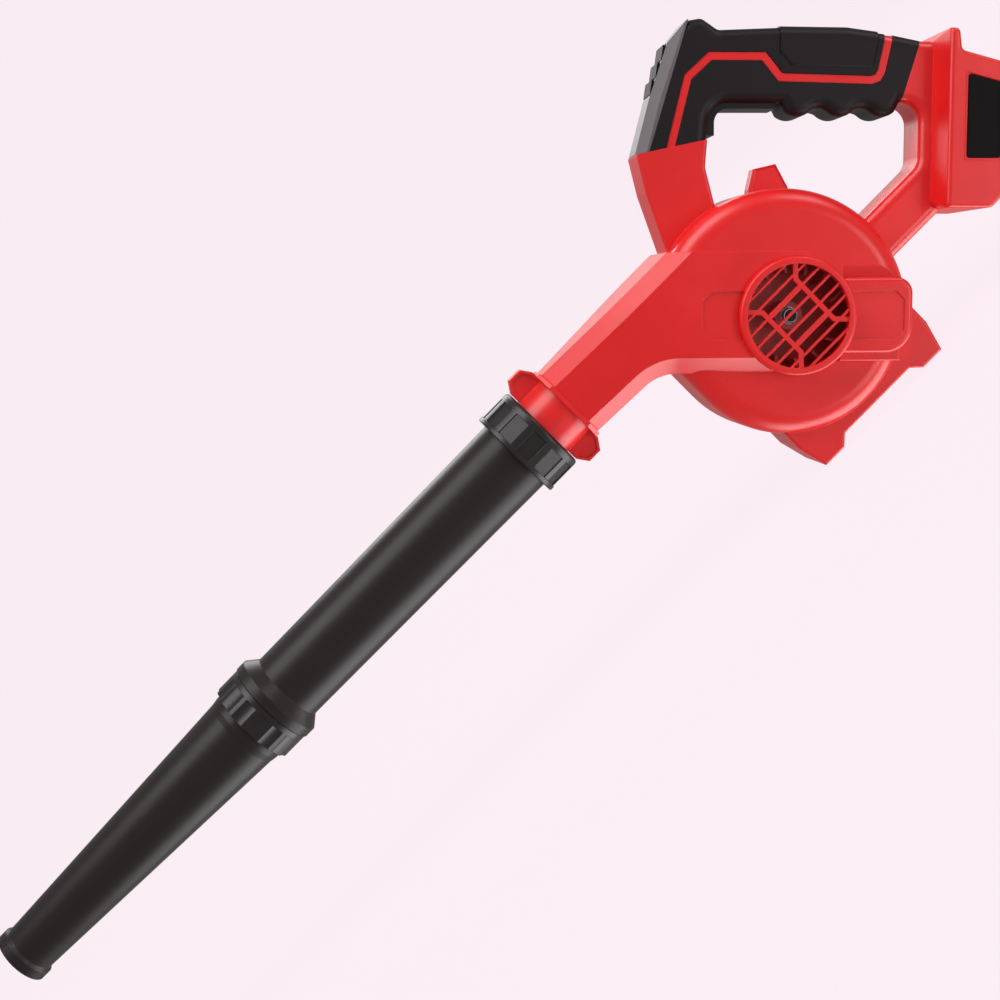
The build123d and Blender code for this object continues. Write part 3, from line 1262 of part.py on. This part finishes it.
with BuildPart() as tube_lock_ring:
    ring_end = MOUTH_X - TUBE_RING_L
    tube_disc(TUBE_RING_R, ring_end, MOUTH_X)
    fillet(tube_lock_ring.faces().sort_by(Axis.X)[-1].edges(), RING_ROUND)
    tube_disc(TUBE_RING_FLANGE_R, ring_end, ring_end + TUBE_RING_FLANGE_L)
    fillet(tube_lock_ring.faces().sort_by(Axis.X)[0].edges(), FLANGE_ROUND)
    with BuildSketch(Plane.YZ.offset(MOUTH_X - GRIP_S[1])):
        with Locations((0, AXIS_Z)):
            with PolarLocations(TUBE_RING_R, RING_GRIPS):
                Rectangle(2 * GRIP_CUT, GRIP_W)
    extrude(amount=GRIP_S[1] - GRIP_S[0], mode=Mode.SUBTRACT)
    lock_ring_bore(MOUTH_X, TUBE_RING_L, SLEEVE_END_S, TUBE_R0)

with BuildPart() as tube_seal:
    seal(MOUTH_X)

with BuildPart() as nozzle:
    sleeve_x = NOZZLE_MOUTH_X - SLEEVE_S
    flange_x = NOZZLE_MOUTH_X - NOZZLE_SLEEVE_END_S
    shoulder_x = NOZZLE_MOUTH_X - NOZZLE_RING_L - RUN
    land_x = TIP_X + TIP_L
    turned([
        (sleeve_x, 0), (sleeve_x, SLEEVE_FLANGE_R), (flange_x, SLEEVE_FLANGE_R), (flange_x, NOZZLE_R0),
        (shoulder_x, NOZZLE_R0), (shoulder_x, SHOULDER_R), (shoulder_x - SHOULDER_L, SHOULDER_R),
        (shoulder_x - 2 * SHOULDER_L, NOZZLE_R0), (land_x + NOZZLE_WALL, NOZZLE_R1), (land_x, TIP_R),
        (TIP_X, TIP_R), (TIP_X, 0),
    ])
    outlet_r = NOZZLE_R1 - NOZZLE_WALL
    turned([
        (sleeve_x, 0), (sleeve_x, TUBE_BORE_R), (NOZZLE_MOUTH_X - STUB_REACH - WALL, TUBE_BORE_R),
        (land_x, outlet_r), (TIP_X, outlet_r), (TIP_X, 0),
    ], Mode.SUBTRACT)

with BuildPart() as nozzle_lock_ring:
    ring_end = NOZZLE_MOUTH_X - NOZZLE_RING_L
    tube_disc(NOZZLE_RING_R, ring_end, NOZZLE_MOUTH_X)
    with BuildSketch(Plane.YZ.offset(ring_end)):
        with Locations((0, AXIS_Z)):
            with PolarLocations(NOZZLE_RING_R + FLUTE_R - FLUTE_DEPTH, FLUTES):
                Circle(FLUTE_R)
    extrude(amount=NOZZLE_RING_L - NOZZLE_RIM_L, mode=Mode.SUBTRACT)
    lock_ring_bore(NOZZLE_MOUTH_X, NOZZLE_RING_L, NOZZLE_SLEEVE_END_S, NOZZLE_R0)

with BuildPart() as nozzle_seal:
    seal(NOZZLE_MOUTH_X)

# Screws and leads
with BuildPart() as housing_screws:
    for x, z, half in screw_row():
        seat = screw_seat(half)
        cylinders_y([(x, z, -screw_depth(half), seat)], SCREW_R)
        cylinders_y([(x, z, seat, seat + SCREW_HEAD_T)], SCREW_HEAD_R)

with BuildPart() as motor_lead:
    lead_z = FAN_Z + math.sqrt((MOTOR_R + LEAD_R + FIT) ** 2 - LEAD_X ** 2)
    board_u, board_y = (BOARD_U[0] + BOARD_U[1]) / 2, BOARD_Y + BOARD_T / 2
    (bend_x, bend_z), (board_x, board_z) = tilted(board_u, POST_SCREW[1]), tilted(board_u, BOARD_V[0])
    with BuildLine() as lead_route:
        FilletPolyline(
            (LEAD_X, MOTOR_END_Y, lead_z), (LEAD_X, LEAD_Y, lead_z), (LEAD_X, LEAD_Y, DUCT_TOP + 3 * WALL),
            (bend_x, board_y, bend_z), (board_x, board_y, board_z), radius=LEAD_BEND,
        )
    with BuildSketch(Plane(origin=lead_route.line @ 0, z_dir=lead_route.line % 0)):
        Circle(LEAD_R)
    sweep()

with BuildPart() as battery_lead:
    route = [tilted(u, v) for u, v in BATTERY_ROUTE]
    with BuildLine() as lead_route:
        FilletPolyline(*[(x, 0, z) for x, z in route], radius=LEAD_BEND)
    with BuildSketch(Plane(origin=lead_route.line @ 0, z_dir=lead_route.line % 0)):
        Circle(LEAD_R)
    sweep()

pieces |= {
    "intake_grille": intake_grille,
    "vent_cover": vent_cover,
    "trigger": trigger,
    "trigger_spring": trigger_spring,
    "switch_plunger": switch_plunger,
    "switch_module": switch_module,
    "controller_board": controller_board,
    "terminal_block": terminal_block,
    "battery_terminals": battery_terminals,
    "dock_plate": dock_plate,
    "motor_can": motor_can,
    "end_bell": end_bell,
    "field_magnets": field_magnets,
    "armature_core": armature_core,
    "armature_windings": armature_windings,
    "commutator": commutator,
    "carbon_brushes": carbon_brushes,
    "motor_shaft": motor_shaft,
    "front_bush": front_bush,
    "rear_bush": rear_bush,
    "motor_plate": motor_plate,
    "motor_screws": motor_screws,
    "plate_screws": plate_screws,
    "impeller": impeller,
    "impeller_washer": impeller_washer,
    "impeller_nut": impeller_nut,
    "extension_tube": extension_tube,
    "tube_lock_ring": tube_lock_ring,
    "tube_seal": tube_seal,
    "nozzle": nozzle,
    "nozzle_lock_ring": nozzle_lock_ring,
    "nozzle_seal": nozzle_seal,
    "housing_screws": housing_screws,
    "motor_lead": motor_lead,
    "battery_lead": battery_lead,
}

for name, piece in pieces.items():
    piece.part.label = name
    export_step(piece.part, f"parts/{name}.step")
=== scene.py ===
import json
import math

import bmesh
import bpy
from mathutils import Matrix, Vector


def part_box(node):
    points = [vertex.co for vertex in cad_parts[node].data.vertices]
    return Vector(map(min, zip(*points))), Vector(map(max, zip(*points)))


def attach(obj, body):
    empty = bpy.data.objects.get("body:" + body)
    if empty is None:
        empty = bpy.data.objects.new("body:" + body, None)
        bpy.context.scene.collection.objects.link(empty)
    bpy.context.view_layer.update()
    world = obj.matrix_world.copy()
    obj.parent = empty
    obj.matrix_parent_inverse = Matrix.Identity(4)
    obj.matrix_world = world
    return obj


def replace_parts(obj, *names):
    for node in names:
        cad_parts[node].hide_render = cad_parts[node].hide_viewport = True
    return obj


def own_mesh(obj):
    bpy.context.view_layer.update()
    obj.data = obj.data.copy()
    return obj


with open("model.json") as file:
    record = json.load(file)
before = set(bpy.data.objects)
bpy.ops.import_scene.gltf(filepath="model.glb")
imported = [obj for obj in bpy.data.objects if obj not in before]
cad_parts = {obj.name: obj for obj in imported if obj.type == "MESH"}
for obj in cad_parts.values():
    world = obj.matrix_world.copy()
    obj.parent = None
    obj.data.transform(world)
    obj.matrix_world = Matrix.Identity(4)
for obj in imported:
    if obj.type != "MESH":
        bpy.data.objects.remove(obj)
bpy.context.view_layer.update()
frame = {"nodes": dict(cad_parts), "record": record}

# The photograph's camera: lines along +Y meet at one pixel, and lines along +X slope up to the right
PHOTO_PX = 1000
FOCAL_PX = 1680
DEPTH_VANISH_PX = (380, 300)
ROW_SLOPE = math.radians(45.75)
CAMERA_AT = Vector((-0.1565, -0.968, 0.2475))
SENSOR_MM = 36

PALE = (0.945, 0.835, 0.89)  # surroundings and floor, as the camera sees them
SKY = 0.30  # even light from all round
FLOOR_SIZE = 160
FLOOR_ALBEDO = 0.03  # low, since most of the floor's colour is its own glow
FLOOR_ROUGHNESS = 0.9

# Side view along (u) and across (v) the tilted grip, in metres from the fan axis
FAN_Z = 0.0765
ALONG = Vector((math.sqrt(0.5), 0, -math.sqrt(0.5)))
ACROSS = Vector((math.sqrt(0.5), 0, math.sqrt(0.5)))


def at_grip(u, y, v):
    """Point in the scene from places along and across the grip."""
    return Vector((0, y, FAN_Z)) + ALONG * u + ACROSS * v


def on_grip(point):
    """Places along and across the grip of a point in the scene."""
    local = point - Vector((0, 0, FAN_Z))
    return local.dot(ALONG), local.dot(ACROSS)


def set_camera():
    """Camera at the photograph's place, turned so that the object's axes run as they do there."""
    centre = PHOTO_PX / 2
    depth = Vector((DEPTH_VANISH_PX[0] - centre, DEPTH_VANISH_PX[1] - centre, FOCAL_PX)).normalized()
    slope = Vector((math.cos(ROW_SLOPE), -math.sin(ROW_SLOPE), 0))
    row = (slope - depth * slope.dot(depth)).normalized()
    rise = row.cross(depth)
    right, down, forward = zip(row, depth, rise)
    turn = Matrix((right, [-v for v in down], [-v for v in forward])).transposed()
    data = bpy.data.cameras.new("photo_camera")
    data.sensor_width = SENSOR_MM
    data.lens = SENSOR_MM * FOCAL_PX / PHOTO_PX
    camera = bpy.data.objects.new("photo_camera", data)
    camera.matrix_world = Matrix.Translation(CAMERA_AT) @ turn.to_4x4()
    bpy.context.scene.collection.objects.link(camera)
    bpy.context.scene.camera = camera
    bpy.context.scene.view_settings.view_transform = "Standard"


# Surfaces: scales are per metre, and spreads are either way of the material's own roughness
GRAIN_DETAIL = 3
GRAIN_STRENGTH = 0.35
MOTTLE_SCALE = 45
MOTTLE_DETAIL = 4
MOULDED_SPREAD = 0.05
BRUSH_SCALE = 900
BRUSH_SPREAD = 0.08


def new_material(name, colour, roughness, specular=0.5):
    """Principled material with plain values on its own sockets."""
    material = bpy.data.materials.new(name)
    material.use_nodes = True
    shader = material.node_tree.nodes["Principled BSDF"]
    shader.inputs["Base Color"].default_value = (*colour, 1)
    shader.inputs["Roughness"].default_value = roughness
    shader.inputs["Specular IOR Level"].default_value = specular
    return material, material.node_tree, shader


def vary_roughness(tree, noise, shader, roughness, spread):
    """Let a noise move the shader's roughness up and down."""
    gloss = tree.nodes.new("ShaderNodeMapRange")
    gloss.inputs["To Min"].default_value = roughness - spread
    gloss.inputs["To Max"].default_value = roughness + spread
    tree.links.new(noise.outputs["Fac"], gloss.inputs["Value"])
    tree.links.new(gloss.outputs["Result"], shader.inputs["Roughness"])


def moulded(name, colour, roughness, grain, depth, mottle=0.08, edge=0.0006, specular=0.5):
    """Moulded plastic: eased edges, fine spark-eroded grain, slight mottling of colour and of gloss."""
    material, tree, shader = new_material(name, colour, roughness, specular)
    nodes, link = tree.nodes, tree.links.new
    place = nodes.new("ShaderNodeTexCoord")
    fine = nodes.new("ShaderNodeTexNoise")
    fine.inputs["Scale"].default_value = grain
    fine.inputs["Detail"].default_value = GRAIN_DETAIL
    broad = nodes.new("ShaderNodeTexNoise")
    broad.inputs["Scale"].default_value = MOTTLE_SCALE
    broad.inputs["Detail"].default_value = MOTTLE_DETAIL
    for noise in (fine, broad):
        link(place.outputs["Object"], noise.inputs["Vector"])
    eased = nodes.new("ShaderNodeBevel")
    eased.inputs["Radius"].default_value = edge
    bump = nodes.new("ShaderNodeBump")
    bump.inputs["Strength"].default_value = GRAIN_STRENGTH
    bump.inputs["Distance"].default_value = depth
    link(fine.outputs["Fac"], bump.inputs["Height"])
    link(eased.outputs["Normal"], bump.inputs["Normal"])
    link(bump.outputs["Normal"], shader.inputs["Normal"])
    tint = nodes.new("ShaderNodeMix")
    tint.data_type = "RGBA"
    tint.inputs["A"].default_value = (*[c * (1 - mottle) for c in colour], 1)
    tint.inputs["B"].default_value = (*[min(1, c * (1 + mottle)) for c in colour], 1)
    link(broad.outputs["Fac"], tint.inputs["Factor"])
    link(tint.outputs["Result"], shader.inputs["Base Color"])
    vary_roughness(tree, broad, shader, roughness, MOULDED_SPREAD)
    return material


def metal(name, colour, roughness):
    """Bare metal with fine changes of gloss."""
    material, tree, shader = new_material(name, colour, roughness)
    shader.inputs["Metallic"].default_value = 1
    place = tree.nodes.new("ShaderNodeTexCoord")
    noise = tree.nodes.new("ShaderNodeTexNoise")
    noise.inputs["Scale"].default_value = BRUSH_SCALE
    tree.links.new(place.outputs["Object"], noise.inputs["Vector"])
    vary_roughness(tree, noise, shader, roughness, BRUSH_SPREAD)
    return material


RED = (0.81, 0.011, 0.012)
PAD_BLACK = (0.0085, 0.0046, 0.006)
# Grey of the vent cover, which is black plastic: the grey is a painted reflection of the light on it
COVER_GREY_PAINTED_REFLECTION = (0.13, 0.112, 0.122)
TRIGGER_BLACK = (0.016, 0.012, 0.013)
TUBE_BLACK = (0.019, 0.0135, 0.0135)
RING_BLACK = (0.015, 0.0105, 0.011)
# Pale red of the fan: partly the fan's own dark red, partly painted light, made brighter to stand in for
# light inside the shaded volute
FAN_RED_PAINTED_LIGHT = (0.75, 0.11, 0.11)
DULL_BLACK = (0.007, 0.0055, 0.006)
INNER_BLACK = (0.02, 0.02, 0.021)
BOARD_GREEN = (0.02, 0.11, 0.045)
RUBBER_BLACK = (0.012, 0.012, 0.012)
JACKET_BLACK = (0.02, 0.02, 0.02)
OXIDE_BLACK = (0.02, 0.018, 0.018)
STEEL_GREY = (0.62, 0.62, 0.63)
ZINC_GREY = (0.5, 0.5, 0.5)
FERRITE_GREY = (0.05, 0.05, 0.05)
IRON_GREY = (0.25, 0.25, 0.26)
COPPER = (0.75, 0.38, 0.2)
BRONZE = (0.65, 0.45, 0.2)
CARBON_BLACK = (0.02, 0.02, 0.02)

# By slot. Moulded: name, colour, roughness, grain per metre, depth of the grain. Metal: the first three
FINISHES = {
    "red_housing": moulded("red_plastic", RED, 0.30, 1700, 0.00008, specular=0.6),
    "red_grille": moulded("red_grille_plastic", RED, 0.36, 2600, 0.00004),
    "soft_pad": moulded("soft_black_pad", PAD_BLACK, 0.46, 2000, 0.00010, specular=0.28),
    # the vent cover's grey colour is a painted reflection on black plastic
    "cover_black": moulded("cover_plastic_painted_reflection", COVER_GREY_PAINTED_REFLECTION, 0.40, 2400, 0.00005, specular=0.35),
    "trigger_grey": moulded("trigger_plastic", TRIGGER_BLACK, 0.42, 2400, 0.00004, specular=0.3),
    "tube_black": moulded("black_tube_plastic", TUBE_BLACK, 0.36, 2200, 0.00008, specular=0.28),
    "ring_black": moulded("black_ring_plastic", RING_BLACK, 0.32, 2600, 0.00004, specular=0.45),
    # the fan's pale red is partly painted light inside the shaded volute
    "fan_dark": moulded("fan_plastic_painted_light", FAN_RED_PAINTED_LIGHT, 0.35, 2600, 0.00004),
    "plate_black": moulded("bare_plate", DULL_BLACK, 0.5, 3000, 0.00002, specular=0.08),
    "inner_plastic": moulded("inner_black_plastic", INNER_BLACK, 0.45, 2400, 0.00004),
    "board_green": moulded("circuit_board", BOARD_GREEN, 0.4, 2400, 0.00002),
    "seal_rubber": moulded("seal_rubber", RUBBER_BLACK, 0.6, 2400, 0.00004),
    "lead_jacket": moulded("lead_jacket", JACKET_BLACK, 0.5, 2400, 0.00004),
    "black_steel": moulded("black_oxide", OXIDE_BLACK, 0.35, 2400, 0.00002),
    "steel": metal("bright_steel", STEEL_GREY, 0.28),
    "can_metal": metal("zinc_can", ZINC_GREY, 0.38),
    "magnet": moulded("ferrite", FERRITE_GREY, 0.6, 2000, 0.00004),
    "core_iron": metal("laminated_iron", IRON_GREY, 0.45),
    "copper": metal("copper", COPPER, 0.3),
    "bush_brass": metal("bronze", BRONZE, 0.35),
    "carbon": moulded("carbon", CARBON_BLACK, 0.7, 2000, 0.00004),
}


def dress_nodes():
    """Give every CAD node the finish of its slot."""
    for entry in frame["record"]["subparts"]:
        node = frame["nodes"][entry["node"]]
        node.data.materials.clear()
        node.data.materials.append(FINISHES[entry["material_slot"]])


CREASE = math.radians(24)  # an edge that turns further than this stays sharp
SAME_POINT = 2e-6  # points of a CAD mesh closer than this are one
ON_CUT = 1e-6  # a point this near a cut lies on it
ON_HEAD = 1e-5  # a point this near the top of a screw is on the flat of its head


def welded(node):
    """Editable copy of a CAD node's mesh, with the points at its edges joined."""
    work = bmesh.new()
    work.from_mesh(frame["nodes"][node].data)
    bmesh.ops.remove_doubles(work, verts=work.verts, dist=SAME_POINT)
    return work


def skin(work, rings):
    """Faces from each ring of points to the next."""
    for near, far in zip(rings, rings[1:]):
        for i in range(len(near)):
            work.faces.new((near[i - 1], near[i], far[i], far[i - 1]))


def skin_closed(work, rings):
    """Solid whose last ring of points joins its first."""
    skin(work, rings + rings[:1])
    bmesh.ops.recalc_face_normals(work, faces=work.faces)


def skin_capped(work, rings):
    """Solid with a flat face on its first and last ring of points."""
    skin(work, rings)
    for end in (rings[0], rings[-1]):
        work.faces.new(end)
    bmesh.ops.recalc_face_normals(work, faces=work.faces)


def add_piece(name, work, slot, body="housing"):
    """Object from a bmesh, smooth between its creases, that moves with a body."""
    mesh = bpy.data.meshes.new(name)
    work.to_mesh(mesh)
    work.free()
    if "custom_normal" in mesh.attributes:
        mesh.attributes.remove(mesh.attributes["custom_normal"])
    mesh.materials.clear()
    mesh.materials.append(FINISHES[slot])
    for face in mesh.polygons:
        face.use_smooth = True
    mesh.set_sharp_from_angle(angle=CREASE)
    piece = bpy.data.objects.new(name, mesh)
    bpy.context.scene.collection.objects.link(piece)
    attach(piece, body)
    return piece


# Raised panel on the side of each palm pad, and the section of the grip that it lies on
PALM_PANEL = [(-0.0058, 0.1465), (0.0005, 0.1395), (0.0475, 0.1385), (0.0525, 0.165)]
PALM_MIDDLE = (0.025, 0.15)  # a point inside the panel
PALM_RISE = 0.0008
PALM_SLOPE = 0.0008
GRIP_TOP = [(-0.005, 0.1608), (0.033, 0.1604), (0.060, 0.1568)]
GRIP_HALF = 0.0175
GRIP_ROUND = 0.006
PAD_T = 0.0022


def grip_top(u):
    """Height across the grip of its upper side."""
    for (u0, v0), (u1, v1) in zip(GRIP_TOP, GRIP_TOP[1:]):
        if u <= u1:
            break
    return v0 + (v1 - v0) * (u - u0) / (u1 - u0)


def outward(point):
    """Direction out of the rounded grip at a point, and the point's depth below the surface."""
    u, v = on_grip(point)
    beside = max(0, abs(point.y) - GRIP_HALF + GRIP_ROUND)
    above = max(0, v - grip_top(u) + GRIP_ROUND)
    reach = math.hypot(beside, above)
    if reach == 0:
        return Vector((0, 0, 0)), GRIP_ROUND
    side = Vector((0, math.copysign(beside, point.y), 0))
    return (side + ACROSS * above) / reach, GRIP_ROUND - reach


def raise_palm(node):
    """Palm pad with a low raised panel on it, in place of the plain one."""
    work = welded(node)
    middle = at_grip(PALM_MIDDLE[0], 0, PALM_MIDDLE[1])
    lines = []
    for (u0, v0), (u1, v1) in zip(PALM_PANEL, PALM_PANEL[1:]):
        start = at_grip(u0, 0, v0)
        inward = Vector((0, 1, 0)).cross(at_grip(u1, 0, v1) - start).normalized()
        inward *= math.copysign(1, inward.dot(middle - start))
        lines.append((start, inward))
        for inset in (0, PALM_SLOPE):
            geometry = work.verts[:] + work.edges[:] + work.faces[:]
            cut = start + inward * inset
            bmesh.ops.bisect_plane(work, geom=geometry, plane_co=cut, plane_no=inward, dist=ON_CUT)
    for vert in work.verts:
        inside = min((vert.co - start).dot(inward) for start, inward in lines)
        direction, depth = outward(vert.co)
        if depth < PAD_T / 2 and inside > 0:
            vert.co += direction * PALM_RISE * min(1, inside / PALM_SLOPE)
    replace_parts(add_piece(f"{node}_panelled", work, "soft_pad"), node)


# Outline (u, v) of the bare plate on the dock, and the rim round it
PLATE = [(0.096, 0.087), (0.115, 0.087), (0.115, 0.128), (0.096, 0.133)]
PLATE_FACE = -0.036
RIM_GAP = 0.0003
RIM_W = 0.0011
RIM_H = 0.0006


def grown(points, amount):
    """Outline on the grip plane with every side moved out by an amount."""
    count = len(points)
    lines = []
    for i, (u0, v0) in enumerate(points):
        u1, v1 = points[(i + 1) % count]
        length = math.hypot(u1 - u0, v1 - v0)
        nu, nv = (v1 - v0) / length, (u0 - u1) / length
        lines.append((nu, nv, nu * u0 + nv * v0 + amount))
    corners = []
    for i, (a, b, c) in enumerate(lines):
        d, e, f = lines[i - 1]
        det = a * e - b * d
        corners.append(((c * e - b * f) / det, (a * f - c * d) / det))
    return corners


def add_plate_rim():
    """Low moulded rim round the bare plate on the dock, bevelled on both sides."""
    work = bmesh.new()
    outer, bevel = RIM_GAP + RIM_W, RIM_H / 2
    rings = []
    for out, rise in ((RIM_GAP, 0), (RIM_GAP + bevel, RIM_H), (outer - bevel, RIM_H), (outer, 0)):
        corners = grown(PLATE, out)
        rings.append([work.verts.new(at_grip(u, PLATE_FACE - rise, v)) for u, v in corners])
    skin_closed(work, rings)
    add_piece("dock_plate_rim", work, "red_housing")


# Louvre blades over the front facet of the vent cover, which runs from one (u, v) to the other; their
# dull black is painted shade of the vent openings
FACET = (-0.079, 0.1217), (-0.069, 0.1523)
BLADE_STARTS = (0.002, 0.0122, 0.0224)
BLADE_L = 0.0082
BLADE_HALF = 0.0117
BLADE_FOOT = -0.0005  # how far below the facet a blade starts
BLADE_RISE = (0.0003, 0.0018)  # above the facet, at a blade's lower and upper ends


def add_louvre_shade_blades():
    """Louvre blades that lean out towards their upper ends, dull black as painted shade of the vent
    openings.
    """
    low, high = (at_grip(u, 0, v) for u, v in FACET)
    up = (high - low).normalized()
    out = up.cross(Vector((0, 1, 0)))
    side = Vector((0, BLADE_HALF, 0))
    work = bmesh.new()
    for start in BLADE_STARTS:
        rings = []
        for along, rise in zip((start, start + BLADE_L), BLADE_RISE):
            foot, top = (low + up * along + out * height for height in (BLADE_FOOT, rise))
            corners = (foot - side, top - side, top + side, foot + side)
            rings.append([work.verts.new(corner) for corner in corners])
        skin_capped(work, rings)
    # dull black blades: painted shade where the vent openings are
    add_piece("louvre_blades_painted_shade", work, "plate_black")


# Collar of the fan's lock nut and the end of the shaft in it
COLLAR_R = 0.0034, 0.0039
COLLAR_H = 0.0006
CAP_R = 0.00265
CAP_EDGE = 0.0004
CAP_CENTRE_R = 0.0003
CAP_OVER = 0.0002
TURN_STEPS = 48


def add_turned(name, profile, slot):
    """Ring turned about the fan axis, from a closed profile of radii and places along Y."""
    work = bmesh.new()
    turns = [2 * math.pi * step / TURN_STEPS for step in range(TURN_STEPS)]
    rings = []
    for radius, y in profile:
        ring = []
        for turn in turns:
            ring.append(work.verts.new((math.cos(turn) * radius, y, FAN_Z + math.sin(turn) * radius)))
        rings.append(ring)
    skin_closed(work, rings)
    add_piece(name, work, slot, "rotor")


def add_fan_nut_trim():
    """Bright collar of the lock nut, and the blackened end of the shaft that comes through it."""
    nut_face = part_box("impeller_nut")[0][1]
    shaft_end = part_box("motor_shaft")[0][1]
    inner, outer = COLLAR_R
    rim = nut_face - COLLAR_H
    collar = [(inner, nut_face), (inner, rim), (outer, rim), (outer, nut_face)]
    add_turned("nut_collar", collar, "steel")
    top = shaft_end - CAP_OVER
    cap = [
        (CAP_CENTRE_R, top),
        (CAP_R - CAP_EDGE, top),
        (CAP_R, top + CAP_EDGE),
        (CAP_R, nut_face),
        (CAP_CENTRE_R, nut_face),
    ]
    add_turned("shaft_end", cap, "black_steel")


# Dark cross on each screw head, painted shade of its cross recess
CROSS_ARM = 0.0017
CROSS_HALF = 0.0004
CROSS_RISE = 0.0001


def screw_tops():
    """Middle of the head of each housing screw."""
    work = welded("housing_screws")
    seen = set()
    tops = []
    for first in work.verts:
        if first in seen:
            continue
        seen.add(first)
        screw = [first]
        for vert in screw:  # the list grows until it holds the whole screw
            near = [link.other_vert(vert) for link in vert.link_edges]
            screw += [other for other in near if other not in seen]
            seen.update(near)
        top = max(vert.co.y for vert in screw)
        rim = [vert.co for vert in screw if vert.co.y > top - ON_HEAD]
        tops.append(sum(rim, Vector()) / len(rim))
    work.free()
    return tops


def add_recess_shade_crosses():
    """Thin dark cross on the head of each housing screw: painted shade where the real one has a recess.
    """
    arm, half = CROSS_ARM, CROSS_HALF
    quarter = [(arm, -half), (arm, half), (half, half)]
    outline = []
    for _ in range(4):
        outline += quarter
        quarter = [(-b, a) for a, b in quarter]
    work = bmesh.new()
    for top in screw_tops():
        rings = []
        for rise in (-CROSS_RISE, CROSS_RISE):
            rings.append([work.verts.new(top + Vector((a, rise, b))) for a, b in outline])
        skin_capped(work, rings)
    # flat dark crosses: painted shade of the screw recesses
    add_piece("screw_cross_painted_shade", work, "black_steel")


# Trigger spring, on a line across the grip
SPRING_U = -0.023
SPRING_V = 0.128, 0.138  # where the spring meets the trigger and the switch
SPRING_R = 0.0038
SPRING_COILS = 4.5
COIL_STEPS = 24
WIRE_R = 0.00035
WIRE_SIDES = 8


def add_spring():
    """Coil in place of the spring's plain sleeve."""
    work = bmesh.new()
    bottom, top = SPRING_V
    steps = round(SPRING_COILS * COIL_STEPS)
    rings = []
    for step in range(steps + 1):
        turn = 2 * math.pi * step / COIL_STEPS
        radial = ALONG * math.cos(turn) + Vector((0, math.sin(turn), 0))
        rise = WIRE_R + (top - bottom - 2 * WIRE_R) * step / steps
        centre = at_grip(SPRING_U, 0, bottom + rise) + radial * SPRING_R
        ring = []
        for side in range(WIRE_SIDES):
            angle = 2 * math.pi * side / WIRE_SIDES
            out = radial * math.cos(angle) + ACROSS * math.sin(angle)
            ring.append(work.verts.new(centre + out * WIRE_R))
        rings.append(ring)
    skin_capped(work, rings)
    spring = add_piece("trigger_spring_coil", work, "steel")
    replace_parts(spring, "trigger_spring")
    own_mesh(spring)


def add_floor():
    """Glowing pale floor out to the horizon, which lets the lamps below it light the blower."""
    bpy.ops.mesh.primitive_plane_add(size=FLOOR_SIZE, location=(0, 0, 0))
    floor = bpy.context.object
    floor.name = "pale_floor"
    material, _, shader = new_material("pale_floor", (FLOOR_ALBEDO,) * 3, FLOOR_ROUGHNESS, 0)
    glow = [c - FLOOR_ALBEDO * SKY for c in PALE]
    shader.inputs["Emission Color"].default_value = (*glow, 1)
    shader.inputs["Emission Strength"].default_value = 1
    floor.data.materials.append(material)
    floor.visible_glossy = False
    floor.visible_diffuse = False
    floor.visible_shadow = False


def add_light(name, at, aim, size, power, side):
    """Soft lamp that faces a point, with its first side along the given direction."""
    data = bpy.data.lights.new(name, "AREA")
    data.shape = "RECTANGLE"
    data.size, data.size_y = size
    data.energy = power
    lamp = bpy.data.objects.new(name, data)
    toward = (Vector(aim) - Vector(at)).normalized()
    along = (Vector(side) - toward * toward.dot(Vector(side))).normalized()
    turn = Matrix((along, (-toward).cross(along), -toward)).transposed()
    lamp.matrix_world = Matrix.Translation(at) @ turn.to_4x4()
    lamp.visible_camera = False
    bpy.context.scene.collection.objects.link(lamp)


def set_world():
    """Pale surroundings for the camera, and a dimmer even sky for the light on the blower."""
    world = bpy.data.worlds.new("pale_studio")
    world.use_nodes = True
    tree = world.node_tree
    nodes, link = tree.nodes, tree.links.new
    seen = nodes["Background"]
    seen.inputs["Color"].default_value = (*PALE, 1)
    sky = nodes.new("ShaderNodeBackground")
    sky.inputs["Color"].default_value = (1, 1, 1, 1)
    sky.inputs["Strength"].default_value = SKY
    path = nodes.new("ShaderNodeLightPath")
    mix = nodes.new("ShaderNodeMixShader")
    link(path.outputs["Is Camera Ray"], mix.inputs["Fac"])
    link(sky.outputs["Background"], mix.inputs[1])
    link(seen.outputs["Background"], mix.inputs[2])
    link(mix.outputs["Shader"], nodes["World Output"].inputs["Surface"])
    bpy.context.scene.world = world


# Lamps: place, point that it faces, sides, power, direction of its first side
AIM_DUCT = (-0.15, 0, 0.12)
AIM_FAN = (0, 0, 0.1)
AIM_TUBE = (-0.2, 0, 0.1)
LEVEL = (1, 0, 0)
LAMPS = {
    "upper": ((-0.15, -0.45, 1.25), AIM_DUCT, (1.6, 0.75), 14, LEVEL),  # above
    "lower": ((-0.15, -0.05, -1.0), AIM_DUCT, (1.6, 0.9), 16, LEVEL),  # below, through the floor
    "side": ((1.1, -2.1, -1.0), AIM_FAN, (0.85, 1.8), 17, ALONG),  # before the intake, through the floor
    "right": ((1.9, -0.6, 0.85), AIM_TUBE, (0.8, 0.8), 7, LEVEL),  # beyond the dock
    "rear": ((0.1, 1.3, 0.9), AIM_FAN, (1.2, 0.7), 9, LEVEL),  # behind the motor side
}

set_camera()
set_world()
add_floor()
for lamp_name, lamp in LAMPS.items():
    add_light(lamp_name, *lamp)
dress_nodes()
for palm in ("left_palm_pad", "right_palm_pad"):
    raise_palm(palm)
add_plate_rim()
add_louvre_shade_blades()
add_fan_nut_trim()
add_recess_shade_crosses()
add_spring()
